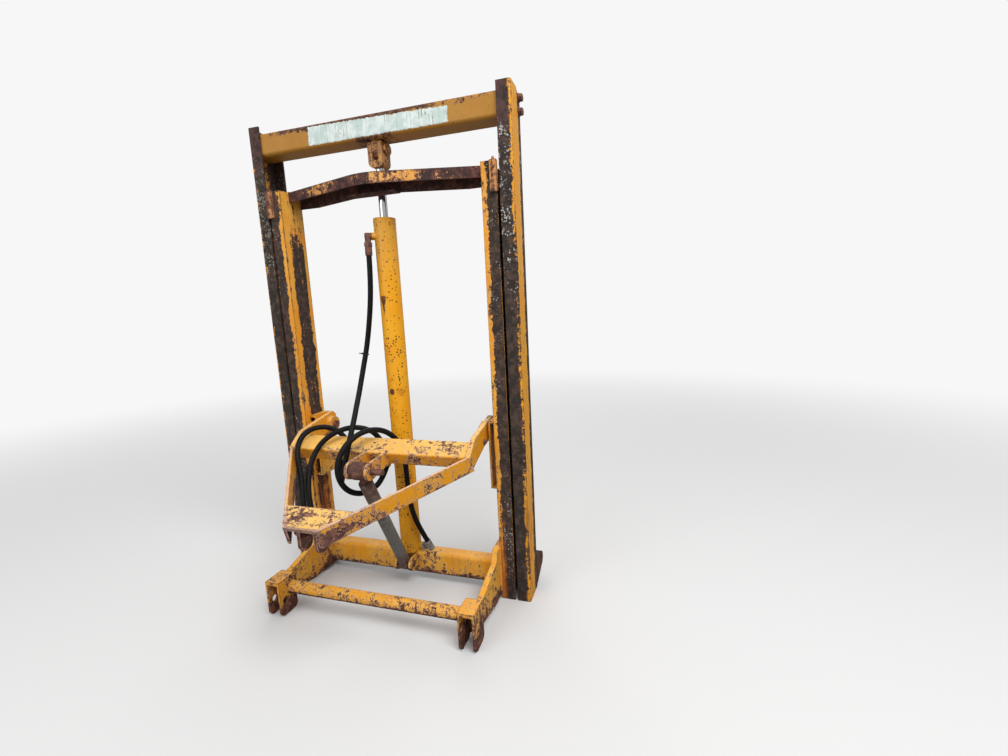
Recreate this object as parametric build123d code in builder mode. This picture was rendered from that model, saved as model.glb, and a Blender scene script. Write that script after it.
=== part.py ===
from build123d import *
from math import atan2, cos, hypot, pi, radians, sin, tan
import os

os.makedirs("parts", exist_ok=True)

# Bale mover: a lift mast for the three-point hitch of a tractor.
# Millimetres. X across the mast, Y from the tractor to the load, Z up from the ground.

# Tall channels: the outer pair, which slides up with the load
tall_height = 1980.0
mast_width = 1137.0
mast_depth = 127.0
tall_flange = 54.0
flange_thick = 9.0
web_thick = 8.0
corner_cut_height = 45.0
corner_cut_depth = 52.0
tip_radius = 3.0
outer_corner = 9.0

# Short channels: the inner pair, which is fixed to the hitch
short_height = 1722.0
mast_gap = 11.5
short_flange = 58.5

# Places across the mast that the channels give
tall_outer = mast_width / 2
tall_tip = tall_outer - tall_flange
short_tip = tall_tip - mast_gap
short_inner = short_tip - short_flange

# Rollers between the channels
roller_radius = 49.0
roller_width = 34.0
roller_side_gap = 6.0
roller_bevel = 3.0
roller_pin_radius = 15.0
fixed_roller_height = 1640.0
lift_roller_height = 62.0

# Reach of the frame in front of the mast and behind it
hitch_reach = 591.0
fork_reach = 239.0
mast_front = (hitch_reach - fork_reach) / 2

# Guide blocks at the top of the short channels
block_width = 28.0
block_height = 110.0
block_thick = 12.0
block_corner = 4.0
block_outer = short_tip + 6.0
nub_radius = 5.0
nub_length = 9.0

# Top crossbeam between the tall channels
beam_height = 90.0
beam_bottom = 1865.5
beam_depth = 103.0
beam_wall = 6.0
beam_corner = 14.0

# Arched crossmember between the short channels
arch_width = 98.0
arch_flange = 41.0
arch_rear_flange = 58.0
arch_web = 6.0
arch_end_front = 52.0
arch_peak_front = -80.0
arch_bend = 200.0
arch_over = 60.0
arch_plate_x = -8.0
arch_plate_y = 13.0
arch_plate_width = 210.0
arch_plate_depth = 46.0
arch_plate_thick = 6.0

# Bottom crossmember
sill_bottom = 36.0
sill_height = 100.0
sill_front = 42.0
sill_depth = 70.0
sill_wall = 8.0
sill_corner = 12.0

# Lift cylinder
lift_y = 64.0
lift_bore_radius = 37.5
lift_barrel_radius = 45.0
lift_barrel_top = 1575.0
lift_foot_thick = 30.0
lift_gland_height = 55.0
lift_rod_radius = 17.5
gland_gap = 0.4
piston_gap = 0.5
upper_port_height = 1505.0
base_port_height = 158.0
port_boss_radius = 15.0
port_boss_reach = 60.0
piston_bottom = 182.0
piston_height = 60.0

# Clevis at the top of the lift rod
clevis_bottom = 1766.0
clevis_top = 1862.0
clevis_width = 64.0
clevis_depth = 60.0
clevis_corner = 20.0
clevis_slot = 27.0
clevis_slot_bottom = 1794.0
clevis_hole_height = 1835.0
hanger_thick = 25.0
hanger_radius = 30.0
clevis_pin_radius = 13.0
clevis_pin_left = 40.0
clevis_pin_right = 48.0
pin_head_radius = 22.0
pin_head_thick = 12.0
pin_bevel = 2.0

# Pivots of the tilt frame on the short channels
pivot_y = 92.0
pivot_height = 700.0
pivot_pin_radius = 16.0
pivot_gap = 0.1
bracket_inner = 411.0
bracket_thick = 9.0
bracket_bottom = 468.0
bracket_top = 752.0
bracket_front = 30.0

# Arms of the tilt frame
arm_inner = 384.0
arm_thick = 19.0
arm_tip_y = 113.0
arm_tip_height = 755.0
arm_rear = 132.0
arm_belly_height = 657.0
arm_heel = 17.0
arm_heel_height = 674.0
arm_front_height = 716.0
arm_front_y = -100.0
boss_radius = 34.0
boss_thick = 22.0
pivot_pin_past = 12.0

# Beam of the tilt frame, a box section that leans forward
beam_front_y = -163.0
beam_front_height = 662.0
beam_lean = 26.0
beam_wide = 88.0
beam_thick = 58.0
tilt_beam_wall = 6.0
tilt_beam_corner = 7.0

# Side plates and apex of the tilt frame
apex_height = 556.0
plate_start = 398.0
plate_end = 66.0
plate_thick = 10.0
plate_height = 64.0
plate_over = 60.0
apex_length = 103.0
apex_thick = 12.0

# Lugs for the top link
top_link_y = -537.0
top_link_height = 486.0
top_link_bore = 12.95
top_lug_inner = 26.0
top_lug_thick = 12.0
top_lug_radius = 29.0

# Tilt cylinder, from its foot on the bottom crossmember to its eye on the tilt frame
foot_y = 0.0
foot_height = 100.0
eye_y = -261.0
eye_height = 623.0
eye_radius = 30.0
eye_half_width = 31.0
eye_gap = 2.0
collar_radius = 34.0
collar_half_width = 19.0
tilt_rod_radius = 16.0
tilt_barrel_radius = 25.0
tilt_bore_radius = 20.0
tilt_barrel_start = 36.0
tilt_foot_thick = 26.0
tilt_head_start = 392.0
tilt_head_radius = 27.0
tilt_barrel_end = 524.0
tilt_gland_length = 40.0
tilt_piston_start = 76.0
tilt_piston_length = 30.0
foot_radius = 25.0
foot_half_width = 21.0
foot_pin_radius = 12.0

# Lugs on the beam for the tilt cylinder, and the tilt pin
tilt_lug_inner = 36.0
tilt_lug_thick = 12.0
tilt_lug_radius = 33.0
tilt_pin_radius = 12.0
tilt_pin_left = 56.0
tilt_pin_right = 98.0

# Lugs on the bottom crossmember for the foot of the tilt cylinder
foot_lug_inner = 27.0
foot_lug_thick = 14.0
foot_lug_radius = 28.0
foot_pin_reach = 46.0

# Lower hitch frame
lower_arm_thick = 25.0
lower_arm_rear = 118.0
lower_arm_bottom = 22.0
ear_height = 228.0
ear_slope = 45.0
ear_front = -20.0
ear_corner = 24.0
neck_y = -52.0
neck_height = 178.0
arm_end_top = 132.0
arm_end_bottom = 50.0
arm_toe_y = -80.0
crossbar_radius = 25.0
crossbar_wall = 5.0
crossbar_y = -262.0
crossbar_height = 100.0

# Brackets for the lower links
link_inner = 385.0
link_outer = 450.0
link_cheek = 10.0
link_front = -328.0
link_rear = -238.0
link_top = 150.0
link_plate = 14.0
link_corner = 22.0
link_bore_radius = 14.4
link_bore_y = -298.0
link_bore_height = 62.0

# Brackets for the forks, at the bottom of the tall channels
fork_bottom = 8.0
fork_top = 144.0
fork_thick = 28.0
fork_pin_y = 206.0
fork_pin_height = 76.0
fork_bore_radius = 16.0
fork_nose_radius = 33.0

# Hoses and their fittings
hose_radius = 11.0
ferrule_radius = 14.0
ferrule_length = 36.0
fitting_radius = 12.0
nut_radius = 18.0
nut_thick = 14.0
base_ferrule_length = 48.0
base_fitting_reach = 104.0
rail_left = -285.0
rail_right = 22.0
rail_height = 606.0
rail_thick = 6.0
rail_rear = 18.0
rail_notch_gap = 13.0
coupler_radius = 15.0
coupler_length = 56.0
coupler_plate_left = -121.0
coupler_plate_right = -58.0
coupler_plate_y = -478.0
coupler_plate_bottom = 468.0

# Each hose's route: across, rearward of the mast's front, up
HOSE_ROUTES = (
    ("long_hose", (
        (-52, 10, 1430), (-53, 9, 1365), (-62, 10, 1262), (-84, 16, 1155), (-105, 14, 1055),
        (-118, -10, 962), (-120, -45, 880), (-116, -80, 826), (-109, -116, 777),
        (-104, -152, 728), (-101, -187, 674), (-109, -205, 611), (-134, -195, 555),
        (-168, -161, 518), (-203, -113, 510), (-232, -66, 533), (-246, -32, 578),
    )),
    ("loop_hose", (
        (91, 47, 193), (78, 27, 246), (64, 11, 301), (53, 2, 358), (47, -2, 416), (45, -3, 474),
        (45, -4, 533), (44, -8, 592), (38, -20, 648), (22, -46, 698), (-4, -85, 733),
        (-35, -133, 745), (-64, -181, 732), (-87, -226, 699), (-101, -258, 646),
        (-98, -263, 585), (-82, -242, 532), (-58, -200, 501), (-31, -149, 500),
        (-10, -105, 529), (0, -78, 578),
    )),
    ("inner_hose", (
        (-58, 2, 640), (-66, -24, 692), (-98, -57, 729), (-146, -92, 741), (-195, -126, 728),
        (-235, -158, 698), (-258, -190, 653), (-261, -221, 603), (-247, -254, 555),
        (-221, -288, 513), (-186, -323, 481), (-146, -361, 463), (-110, -403, 462),
        (-79, -444, 482),
    )),
    ("outer_hose", (
        (-215, -14, 640), (-247, -17, 691), (-288, -45, 725), (-326, -92, 733),
        (-347, -145, 713), (-340, -191, 667), (-311, -222, 616), (-281, -249, 568),
        (-256, -281, 524), (-226, -317, 488), (-192, -357, 465), (-156, -401, 461),
        (-127, -447, 476),
    )),
)

SIDES = (("left", -1), ("right", 1))


def level(height):
    """A level plane above the middle of the mast's front face."""
    return Plane(origin=(0, mast_front, height))


def side(across):
    """An upright plane across the mast: its first axis runs rearward, its second up."""
    return Plane(origin=(across, mast_front, 0), x_dir=(0, 1, 0), z_dir=(1, 0, 0))


def face(rearward):
    """An upright plane that faces the tractor: its first axis runs across, its second up."""
    return Plane(origin=(0, mast_front + rearward, 0), x_dir=(1, 0, 0), z_dir=(0, -1, 0))


# Mast channels, each a rolled section with its web and two flanges
for name, way in SIDES:
    for kind, back, tip, height in (
        ("short", way * short_inner, way * short_tip, short_height),
        ("tall", way * tall_outer, way * tall_tip, tall_height),
    ):
        into = 1 if tip > back else -1
        inside = back + into * web_thick
        with BuildPart() as mast_channel:
            with BuildSketch(level(0)) as section:
                Polygon(
                    (back, 0), (tip, 0), (tip, flange_thick), (inside, flange_thick),
                    (inside, mast_depth - flange_thick), (tip, mast_depth - flange_thick),
                    (tip, mast_depth), (back, mast_depth), align=None,
                )
                fillet(
                    section.vertices().filter_by(
                        lambda v: abs(v.X - tip) < 1 and 1 < v.Y < mast_depth - 1
                    ),
                    tip_radius,
                )
                if kind == "tall":
                    fillet(
                        section.vertices().filter_by(lambda v: abs(abs(v.X) - tall_outer) < 1),
                        outer_corner,
                    )
            extrude(amount=height)
            if kind == "tall":
                with BuildSketch(side(-mast_width)):
                    Polygon(
                        (mast_depth - corner_cut_depth, tall_height),
                        (mast_depth, tall_height - corner_cut_height),
                        (mast_depth + corner_cut_depth, tall_height), align=None,
                    )
                extrude(amount=2 * mast_width, mode=Mode.SUBTRACT)
        mast_channel.part.label = f"{kind}_channel_{name}"
        export_step(mast_channel.part, f"parts/{kind}_channel_{name}.step")

# Guide blocks on the front of the short channels, each with a nub on its top
for name, way in SIDES:
    block_middle = way * (block_outer - block_width / 2)
    with BuildPart() as guide_block:
        with BuildSketch(face(0)):
            with Locations((block_middle, short_height - block_height / 2)):
                RectangleRounded(block_width, block_height, block_corner)
        extrude(amount=block_thick)
        with BuildSketch(level(short_height)):
            with Locations((block_middle, -block_thick / 2)):
                Circle(nub_radius)
        extrude(amount=nub_length)
    guide_block.part.label = f"guide_block_{name}"
    export_step(guide_block.part, f"parts/guide_block_{name}.step")

# Rollers: the fixed pair sits on the short webs near the top and runs in the tall channels,
# the lift pair sits on the tall webs near the bottom and runs in the short channels
roller_room = tall_outer - short_inner - 2 * web_thick
for name, way in SIDES:
    for kind, wall, into, height in (
        ("fixed", way * (short_inner + web_thick), way, fixed_roller_height),
        ("lift", way * (tall_outer - web_thick), -way, lift_roller_height),
    ):
        with BuildPart() as roller:
            with BuildSketch(side(wall + into * (roller_room - roller_side_gap))):
                with Locations((mast_depth / 2, height)):
                    Circle(roller_radius)
            extrude(amount=-into * roller_width)
            chamfer(roller.edges(), roller_bevel)
            with BuildSketch(side(wall)):
                with Locations((mast_depth / 2, height)):
                    Circle(roller_pin_radius)
            extrude(amount=into * (roller_room - roller_side_gap - roller_bevel))
        roller.part.label = f"{kind}_roller_{name}"
        export_step(roller.part, f"parts/{kind}_roller_{name}.step")

# Top crossbeam, a box section between the tall webs
with BuildPart() as top_crossbeam:
    with BuildSketch(side(-(tall_outer - web_thick))):
        with Locations((flange_thick + beam_depth / 2, beam_bottom + beam_height / 2)):
            RectangleRounded(beam_depth, beam_height, beam_corner)
            RectangleRounded(
                beam_depth - 2 * beam_wall, beam_height - 2 * beam_wall,
                beam_corner - beam_wall, mode=Mode.SUBTRACT,
            )
    extrude(amount=2 * (tall_outer - web_thick))
top_crossbeam.part.label = "top_crossbeam"
export_step(top_crossbeam.part, "parts/top_crossbeam.step")

# Hanger under the crossbeam for the lift rod
with BuildPart() as rod_hanger:
    with BuildSketch(side(-hanger_thick / 2)):
        with Locations((lift_y, (beam_bottom + clevis_hole_height) / 2)):
            Rectangle(2 * hanger_radius, beam_bottom - clevis_hole_height)
        with Locations((lift_y, clevis_hole_height)):
            Circle(hanger_radius)
            Circle(clevis_pin_radius, mode=Mode.SUBTRACT)
    extrude(amount=hanger_thick)
rod_hanger.part.label = "rod_hanger"
export_step(rod_hanger.part, "parts/rod_hanger.step")

# Rod clevis, an upright fork with rounded lower corners
with BuildPart() as rod_clevis:
    with BuildSketch(face(lift_y - clevis_depth / 2)) as clevis_front:
        with Locations((0, (clevis_bottom + clevis_top) / 2)):
            Rectangle(clevis_width, clevis_top - clevis_bottom)
        fillet(clevis_front.vertices().group_by(Axis.Y)[0], clevis_corner)
        with Locations((0, clevis_top)):
            Rectangle(clevis_slot, 2 * (clevis_top - clevis_slot_bottom), mode=Mode.SUBTRACT)
    extrude(amount=-clevis_depth)
    with BuildSketch(side(-clevis_width)):
        with Locations((lift_y, clevis_hole_height)):
            Circle(clevis_pin_radius)
    extrude(amount=2 * clevis_width, mode=Mode.SUBTRACT)
rod_clevis.part.label = "rod_clevis"
export_step(rod_clevis.part, "parts/rod_clevis.step")

with BuildPart() as clevis_pin:
    with BuildSketch(side(-clevis_pin_left)):
        with Locations((lift_y, clevis_hole_height)):
            Circle(clevis_pin_radius)
    extrude(amount=clevis_pin_left + clevis_pin_right)
    with BuildSketch(side(clevis_width / 2)):
        with Locations((lift_y, clevis_hole_height)):
            Circle(pin_head_radius)
    extrude(amount=pin_head_thick)
clevis_pin.part.label = "clevis_pin"
export_step(clevis_pin.part, "parts/clevis_pin.step")

# Lift cylinder: the barrel stands on the bottom crossmember, the rod carries its piston
sill_top = sill_bottom + sill_height
lift_axis = Axis((0, mast_front + lift_y, 0), (0, 0, 1))
upper_port_way = Vector(-52, 10 - lift_y).normalized()
lift_ports = ((upper_port_way, upper_port_height), (Vector(1, 0), base_port_height))
with BuildPart() as lift_barrel:
    with BuildSketch(level(sill_top)):
        with Locations((0, lift_y)):
            Circle(lift_barrel_radius)
    extrude(amount=lift_barrel_top - sill_top)
    for way, height in lift_ports:
        with BuildSketch(Plane(origin=(0, mast_front + lift_y, height), z_dir=way)):
            Circle(port_boss_radius)
        extrude(amount=port_boss_reach)
    with BuildSketch(face(lift_y)):
        Polygon(
            (0, lift_barrel_top), (lift_rod_radius + gland_gap, lift_barrel_top),
            (lift_rod_radius + gland_gap, lift_barrel_top - lift_gland_height),
            (lift_bore_radius, lift_barrel_top - lift_gland_height),
            (lift_bore_radius, sill_top + lift_foot_thick), (0, sill_top + lift_foot_thick),
            align=None,
        )
    revolve(axis=lift_axis, mode=Mode.SUBTRACT)
lift_barrel.part.label = "lift_barrel"
export_step(lift_barrel.part, "parts/lift_barrel.step")

with BuildPart() as lift_rod:
    with BuildSketch(face(lift_y)):
        Polygon(
            (0, piston_bottom), (lift_bore_radius - piston_gap, piston_bottom),
            (lift_bore_radius - piston_gap, piston_bottom + piston_height),
            (lift_rod_radius, piston_bottom + piston_height),
            (lift_rod_radius, clevis_bottom), (0, clevis_bottom), align=None,
        )
    revolve(axis=lift_axis)
lift_rod.part.label = "lift_rod"
export_step(lift_rod.part, "parts/lift_rod.step")

# Arched crossmember: a channel laid on its flanges and bowed toward the tractor
arch_slope = (arch_end_front - arch_peak_front) / short_inner
arch_middle = arch_width / 2 * hypot(1, arch_slope)
arch_half = arch_width / 2
arch_end_run = (arch_end_front + 2 * arch_middle - mast_depth) / arch_slope + arch_web
with BuildPart() as arched_crossmember:
    with BuildLine(level(short_height)) as arch_line:
        FilletPolyline(
            (-short_inner - arch_over, arch_end_front + arch_middle + arch_slope * arch_over),
            (0, arch_peak_front + arch_middle),
            (short_inner + arch_over, arch_end_front + arch_middle + arch_slope * arch_over),
            radius=arch_bend,
        )
    arch_path = arch_line.wires()[0]
    with BuildSketch(Plane(origin=arch_path @ 0, x_dir=(0, 0, -1), z_dir=arch_path % 0)):
        Polygon(
            (0, -arch_half), (arch_flange, -arch_half), (arch_flange, arch_web - arch_half),
            (arch_web, arch_web - arch_half), (arch_web, arch_half - arch_web),
            (arch_rear_flange, arch_half - arch_web), (arch_rear_flange, arch_half),
            (0, arch_half), align=None,
        )
    sweep()
    with BuildSketch(level(short_height - arch_rear_flange)):
        Rectangle(2 * short_inner, 2 * mast_depth)
    extrude(amount=arch_rear_flange, mode=Mode.INTERSECT)
    with BuildSketch(level(short_height)):
        with Locations(
            *((way * (short_inner - arch_end_run / 2), mast_depth - arch_web / 2)
              for name, way in SIDES)
        ):
            Rectangle(arch_end_run, arch_web)
    extrude(amount=-arch_rear_flange)
    with BuildSketch(level(short_height - arch_rear_flange)):
        with Locations((arch_plate_x, arch_plate_y)):
            Rectangle(arch_plate_width, arch_plate_depth)
    extrude(amount=-arch_plate_thick)
arched_crossmember.part.label = "arched_crossmember"
export_step(arched_crossmember.part, "parts/arched_crossmember.step")

# Bottom crossmember, a box section that carries both cylinders
sill_half = short_inner - lower_arm_thick
with BuildPart() as bottom_crossmember:
    with BuildSketch(side(-sill_half)):
        with Locations((sill_front + sill_depth / 2, sill_bottom + sill_height / 2)):
            RectangleRounded(sill_depth, sill_height, sill_corner)
            RectangleRounded(
                sill_depth - 2 * sill_wall, sill_height - 2 * sill_wall,
                sill_corner - sill_wall, mode=Mode.SUBTRACT,
            )
    extrude(amount=2 * sill_half)
    for start in (-foot_lug_inner - foot_lug_thick, foot_lug_inner):
        with BuildSketch(side(start)):
            with Locations(((foot_y + sill_front) / 2, foot_height)):
                Rectangle(sill_front - foot_y, 2 * foot_lug_radius)
            with Locations((foot_y, foot_height)):
                Circle(foot_lug_radius)
                Circle(foot_pin_radius, mode=Mode.SUBTRACT)
        extrude(amount=foot_lug_thick)
bottom_crossmember.part.label = "bottom_crossmember"
export_step(bottom_crossmember.part, "parts/bottom_crossmember.step")

with BuildPart() as tilt_foot_pin:
    with BuildSketch(side(-foot_pin_reach)):
        with Locations((foot_y, foot_height)):
            Circle(foot_pin_radius)
    extrude(amount=2 * foot_pin_reach)
    chamfer(tilt_foot_pin.edges(), pin_bevel)
tilt_foot_pin.part.label = "tilt_foot_pin"
export_step(tilt_foot_pin.part, "parts/tilt_foot_pin.step")

# Pivot brackets: a plate beside each short web, joined to it by shelves, with the pivot pin
for name, way in SIDES:
    with BuildPart() as pivot_bracket:
        with BuildSketch(side(way * bracket_inner)):
            with Locations(((bracket_front + mast_depth) / 2, (bracket_bottom + bracket_top) / 2)):
                Rectangle(mast_depth - bracket_front, bracket_top - bracket_bottom)
            with Locations((pivot_y, pivot_height)):
                Circle(pivot_pin_radius, mode=Mode.SUBTRACT)
        extrude(amount=way * bracket_thick)
        for height in (bracket_bottom, bracket_top - bracket_thick):
            with BuildSketch(level(height)):
                with Locations((way * (bracket_inner + short_inner) / 2,
                                (bracket_front + mast_depth) / 2)):
                    Rectangle(short_inner - bracket_inner, mast_depth - bracket_front)
            extrude(amount=bracket_thick)
    pivot_bracket.part.label = f"pivot_bracket_{name}"
    export_step(pivot_bracket.part, f"parts/pivot_bracket_{name}.step")

    with BuildPart() as pivot_pin:
        with BuildSketch(side(way * short_inner)):
            with Locations((pivot_y, pivot_height)):
                Circle(pivot_pin_radius)
        extrude(amount=-way * (short_inner - arm_inner + boss_thick + pivot_pin_past))
        chamfer(pivot_pin.edges(), pin_bevel)
    pivot_pin.part.label = f"pivot_pin_{name}"
    export_step(pivot_pin.part, f"parts/pivot_pin_{name}.step")

# Lower hitch frame: an arm on each short web and a bracket for each lower link
for name, way in SIDES:
    with BuildPart() as lower_arm:
        with BuildSketch(side(way * short_inner)) as arm_outline:
            Polygon(
                (lower_arm_rear, lower_arm_bottom), (lower_arm_rear, ear_height - ear_slope),
                (lower_arm_rear - ear_slope, ear_height), (ear_front, ear_height),
                (neck_y, neck_height), (link_rear, arm_end_top), (link_rear, arm_end_bottom),
                (arm_toe_y, lower_arm_bottom), align=None,
            )
            fillet(arm_outline.vertices().group_by(Axis.Y)[-1].group_by(Axis.X)[0], ear_corner)
        extrude(amount=-way * lower_arm_thick)
    lower_arm.part.label = f"lower_arm_{name}"
    export_step(lower_arm.part, f"parts/lower_arm_{name}.step")

    with BuildPart() as link_bracket:
        for start in (way * link_inner, way * (link_outer - link_cheek)):
            with BuildSketch(side(start)) as cheek:
                with Locations(((link_front + link_rear) / 2, link_top / 2)):
                    Rectangle(link_rear - link_front, link_top)
                fillet(cheek.vertices().group_by(Axis.Y)[0], link_corner)
                with Locations((link_bore_y, link_bore_height)):
                    Circle(link_bore_radius, mode=Mode.SUBTRACT)
            extrude(amount=way * link_cheek)
        with BuildSketch(side(way * (link_inner + link_cheek))):
            with Locations(((link_front + link_rear) / 2, link_top - link_plate / 2)):
                Rectangle(link_rear - link_front, link_plate)
            with Locations((link_rear - link_plate / 2, (link_top + link_corner) / 2)):
                Rectangle(link_plate, link_top - link_corner)
        extrude(amount=way * (link_outer - link_inner - 2 * link_cheek))
    link_bracket.part.label = f"link_bracket_{name}"
    export_step(link_bracket.part, f"parts/link_bracket_{name}.step")

with BuildPart() as lower_crossbar:
    with BuildSketch(side(-link_inner)):
        with Locations((crossbar_y, crossbar_height)):
            Circle(crossbar_radius)
            Circle(crossbar_radius - crossbar_wall, mode=Mode.SUBTRACT)
    extrude(amount=2 * link_inner)
lower_crossbar.part.label = "lower_crossbar"
export_step(lower_crossbar.part, "parts/lower_crossbar.step")

# Brackets for the forks on the rear of the tall channels
for name, way in SIDES:
    with BuildPart() as fork_bracket:
        with BuildSketch(side(way * tall_outer)):
            Polygon(
                (mast_depth, fork_bottom), (mast_depth, fork_top),
                (fork_pin_y, fork_pin_height + fork_nose_radius),
                (fork_pin_y, fork_pin_height - fork_nose_radius), align=None,
            )
            with Locations((fork_pin_y, fork_pin_height)):
                Circle(fork_nose_radius)
                Circle(fork_bore_radius, mode=Mode.SUBTRACT)
        extrude(amount=-way * fork_thick)
    fork_bracket.part.label = f"fork_bracket_{name}"
    export_step(fork_bracket.part, f"parts/fork_bracket_{name}.step")

# Tilt frame: the beam's front corners in the side view, used by all that is welded to it
along_y, along_z = cos(radians(beam_lean)), sin(radians(beam_lean))
down_y, down_z = sin(radians(beam_lean)), -cos(radians(beam_lean))
beam_low_y = beam_front_y + beam_thick * down_y
beam_low_height = beam_front_height + beam_thick * down_z
beam_middle_y = beam_front_y + (beam_wide * along_y + beam_thick * down_y) / 2
beam_middle_height = beam_front_height + (beam_wide * along_z + beam_thick * down_z) / 2

with BuildPart() as tilt_beam:
    with BuildSketch(side(-arm_inner)):
        with Locations(Location((beam_middle_y, beam_middle_height, 0), (0, 0, beam_lean))):
            RectangleRounded(beam_wide, beam_thick, tilt_beam_corner)
            RectangleRounded(
                beam_wide - 2 * tilt_beam_wall, beam_thick - 2 * tilt_beam_wall,
                tilt_beam_corner - tilt_beam_wall, mode=Mode.SUBTRACT,
            )
    extrude(amount=2 * arm_inner)
tilt_beam.part.label = "tilt_beam"
export_step(tilt_beam.part, "parts/tilt_beam.step")

# Arms from the beam back to the pivots, each with a boss on its inner face
for name, way in SIDES:
    with BuildPart() as pivot_arm:
        with BuildSketch(side(way * arm_inner)):
            Polygon(
                (arm_tip_y, arm_tip_height), (arm_front_y, arm_front_height),
                (beam_front_y, beam_front_height), (beam_low_y, beam_low_height),
                (0, arm_belly_height), (arm_rear - arm_heel, arm_heel_height),
                (arm_rear, arm_heel_height + arm_heel), (arm_rear, arm_tip_height - arm_heel),
                align=None,
            )
            with Locations((pivot_y, pivot_height)):
                Circle(pivot_pin_radius + pivot_gap, mode=Mode.SUBTRACT)
        extrude(amount=way * arm_thick)
        with BuildSketch(side(way * arm_inner)):
            with Locations((pivot_y, pivot_height)):
                Circle(boss_radius)
                Circle(pivot_pin_radius + pivot_gap, mode=Mode.SUBTRACT)
        extrude(amount=-way * boss_thick)
    pivot_arm.part.label = f"pivot_arm_{name}"
    export_step(pivot_arm.part, f"parts/pivot_arm_{name}.step")

# Side plates, drawn on the sloping plane through the top edges of the tilt frame
apex_y = -hitch_reach
frame_fall = atan2(beam_front_height - apex_height, beam_front_y - apex_y)
frame_length = hypot(beam_front_height - apex_height, beam_front_y - apex_y)
frame_top = Plane(
    origin=(0, mast_front + beam_front_y, beam_front_height),
    x_dir=(1, 0, 0), z_dir=(0, -sin(frame_fall), cos(frame_fall)),
)
plate_run = (plate_start - plate_end) / frame_length
plate_skew = plate_thick * hypot(1, plate_run)
beam_face = Plane(
    origin=(0, mast_front + beam_front_y, beam_front_height),
    x_dir=(1, 0, 0), z_dir=(0, -along_y, -along_z),
)
for name, way in SIDES:
    with BuildPart() as side_plate:
        with BuildSketch(frame_top):
            Polygon(
                (way * (plate_start + plate_run * plate_over), plate_over),
                (way * plate_end, -frame_length),
                (way * (plate_end - plate_skew), -frame_length),
                (way * (plate_start + plate_run * plate_over - plate_skew), plate_over),
                align=None,
            )
        extrude(amount=-plate_height)
        split(bisect_by=beam_face, keep=Keep.TOP)
    side_plate.part.label = f"side_plate_{name}"
    export_step(side_plate.part, f"parts/side_plate_{name}.step")

# Apex plate between the side plates
apex_front_half = plate_end - plate_skew
apex_rear_half = apex_front_half + plate_run * apex_length
with BuildPart() as apex_plate:
    with BuildSketch(frame_top):
        Polygon(
            (-apex_front_half, -frame_length), (apex_front_half, -frame_length),
            (apex_rear_half, apex_length - frame_length),
            (-apex_rear_half, apex_length - frame_length), align=None,
        )
    extrude(amount=-apex_thick)
apex_plate.part.label = "apex_plate"
export_step(apex_plate.part, "parts/apex_plate.step")

# Lugs under the apex for the top link, cut to the underside of the apex plate
apex_underside = frame_top.offset(-apex_thick)
for name, way in SIDES:
    with BuildPart() as top_link_lug:
        with BuildSketch(side(way * top_lug_inner)):
            with Locations((top_link_y, top_link_height + plate_height)):
                Rectangle(2 * top_lug_radius, 2 * plate_height)
            with Locations((top_link_y, top_link_height)):
                Circle(top_lug_radius)
                Circle(top_link_bore, mode=Mode.SUBTRACT)
        extrude(amount=way * top_lug_thick)
        split(bisect_by=apex_underside, keep=Keep.BOTTOM)
    top_link_lug.part.label = f"top_link_lug_{name}"
    export_step(top_link_lug.part, f"parts/top_link_lug_{name}.step")

# Lugs on the front of the beam, and the pin through the eye of the tilt cylinder
for name, way in SIDES:
    with BuildPart() as tilt_lug:
        with BuildSketch(side(way * tilt_lug_inner)):
            Polygon(
                (beam_front_y, beam_front_height), (eye_y, eye_height + tilt_lug_radius),
                (eye_y, eye_height - tilt_lug_radius), (beam_low_y, beam_low_height), align=None,
            )
            with Locations((eye_y, eye_height)):
                Circle(tilt_lug_radius)
                Circle(tilt_pin_radius, mode=Mode.SUBTRACT)
        extrude(amount=way * tilt_lug_thick)
    tilt_lug.part.label = f"tilt_lug_{name}"
    export_step(tilt_lug.part, f"parts/tilt_lug_{name}.step")

with BuildPart() as tilt_pin:
    with BuildSketch(side(-tilt_pin_left)):
        with Locations((eye_y, eye_height)):
            Circle(tilt_pin_radius)
    extrude(amount=tilt_pin_left + tilt_pin_right)
    chamfer(tilt_pin.edges(), pin_bevel)
tilt_pin.part.label = "tilt_pin"
export_step(tilt_pin.part, "parts/tilt_pin.step")

# Tilt cylinder, drawn round the line from its foot to its eye
tilt_length = hypot(eye_y - foot_y, eye_height - foot_height)
tilt_way = (0, (eye_y - foot_y) / tilt_length, (eye_height - foot_height) / tilt_length)
tilt_foot = (0, mast_front + foot_y, foot_height)
tilt_axis = Axis(tilt_foot, tilt_way)
tilt_plane = Plane(origin=tilt_foot, x_dir=(1, 0, 0), z_dir=(0, -tilt_way[2], tilt_way[1]))
gland_start = tilt_barrel_end - tilt_gland_length
with BuildPart() as tilt_barrel:
    with BuildSketch(tilt_plane):
        Polygon(
            (0, 0), (foot_half_width, 0), (tilt_barrel_radius, tilt_barrel_start),
            (tilt_barrel_radius, tilt_head_start), (tilt_head_radius, tilt_head_start),
            (tilt_head_radius, tilt_barrel_end), (tilt_rod_radius + gland_gap, tilt_barrel_end),
            (tilt_rod_radius + gland_gap, gland_start), (tilt_bore_radius, gland_start),
            (tilt_bore_radius, tilt_barrel_start + tilt_foot_thick),
            (0, tilt_barrel_start + tilt_foot_thick), align=None,
        )
    revolve(axis=tilt_axis)
    with BuildSketch(side(-foot_half_width)):
        with Locations((foot_y, foot_height)):
            Circle(foot_radius)
    extrude(amount=2 * foot_half_width)
    with BuildSketch(side(-foot_radius)):
        with Locations((foot_y, foot_height)):
            Circle(foot_pin_radius + pivot_gap)
    extrude(amount=2 * foot_radius, mode=Mode.SUBTRACT)
tilt_barrel.part.label = "tilt_barrel"
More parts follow.
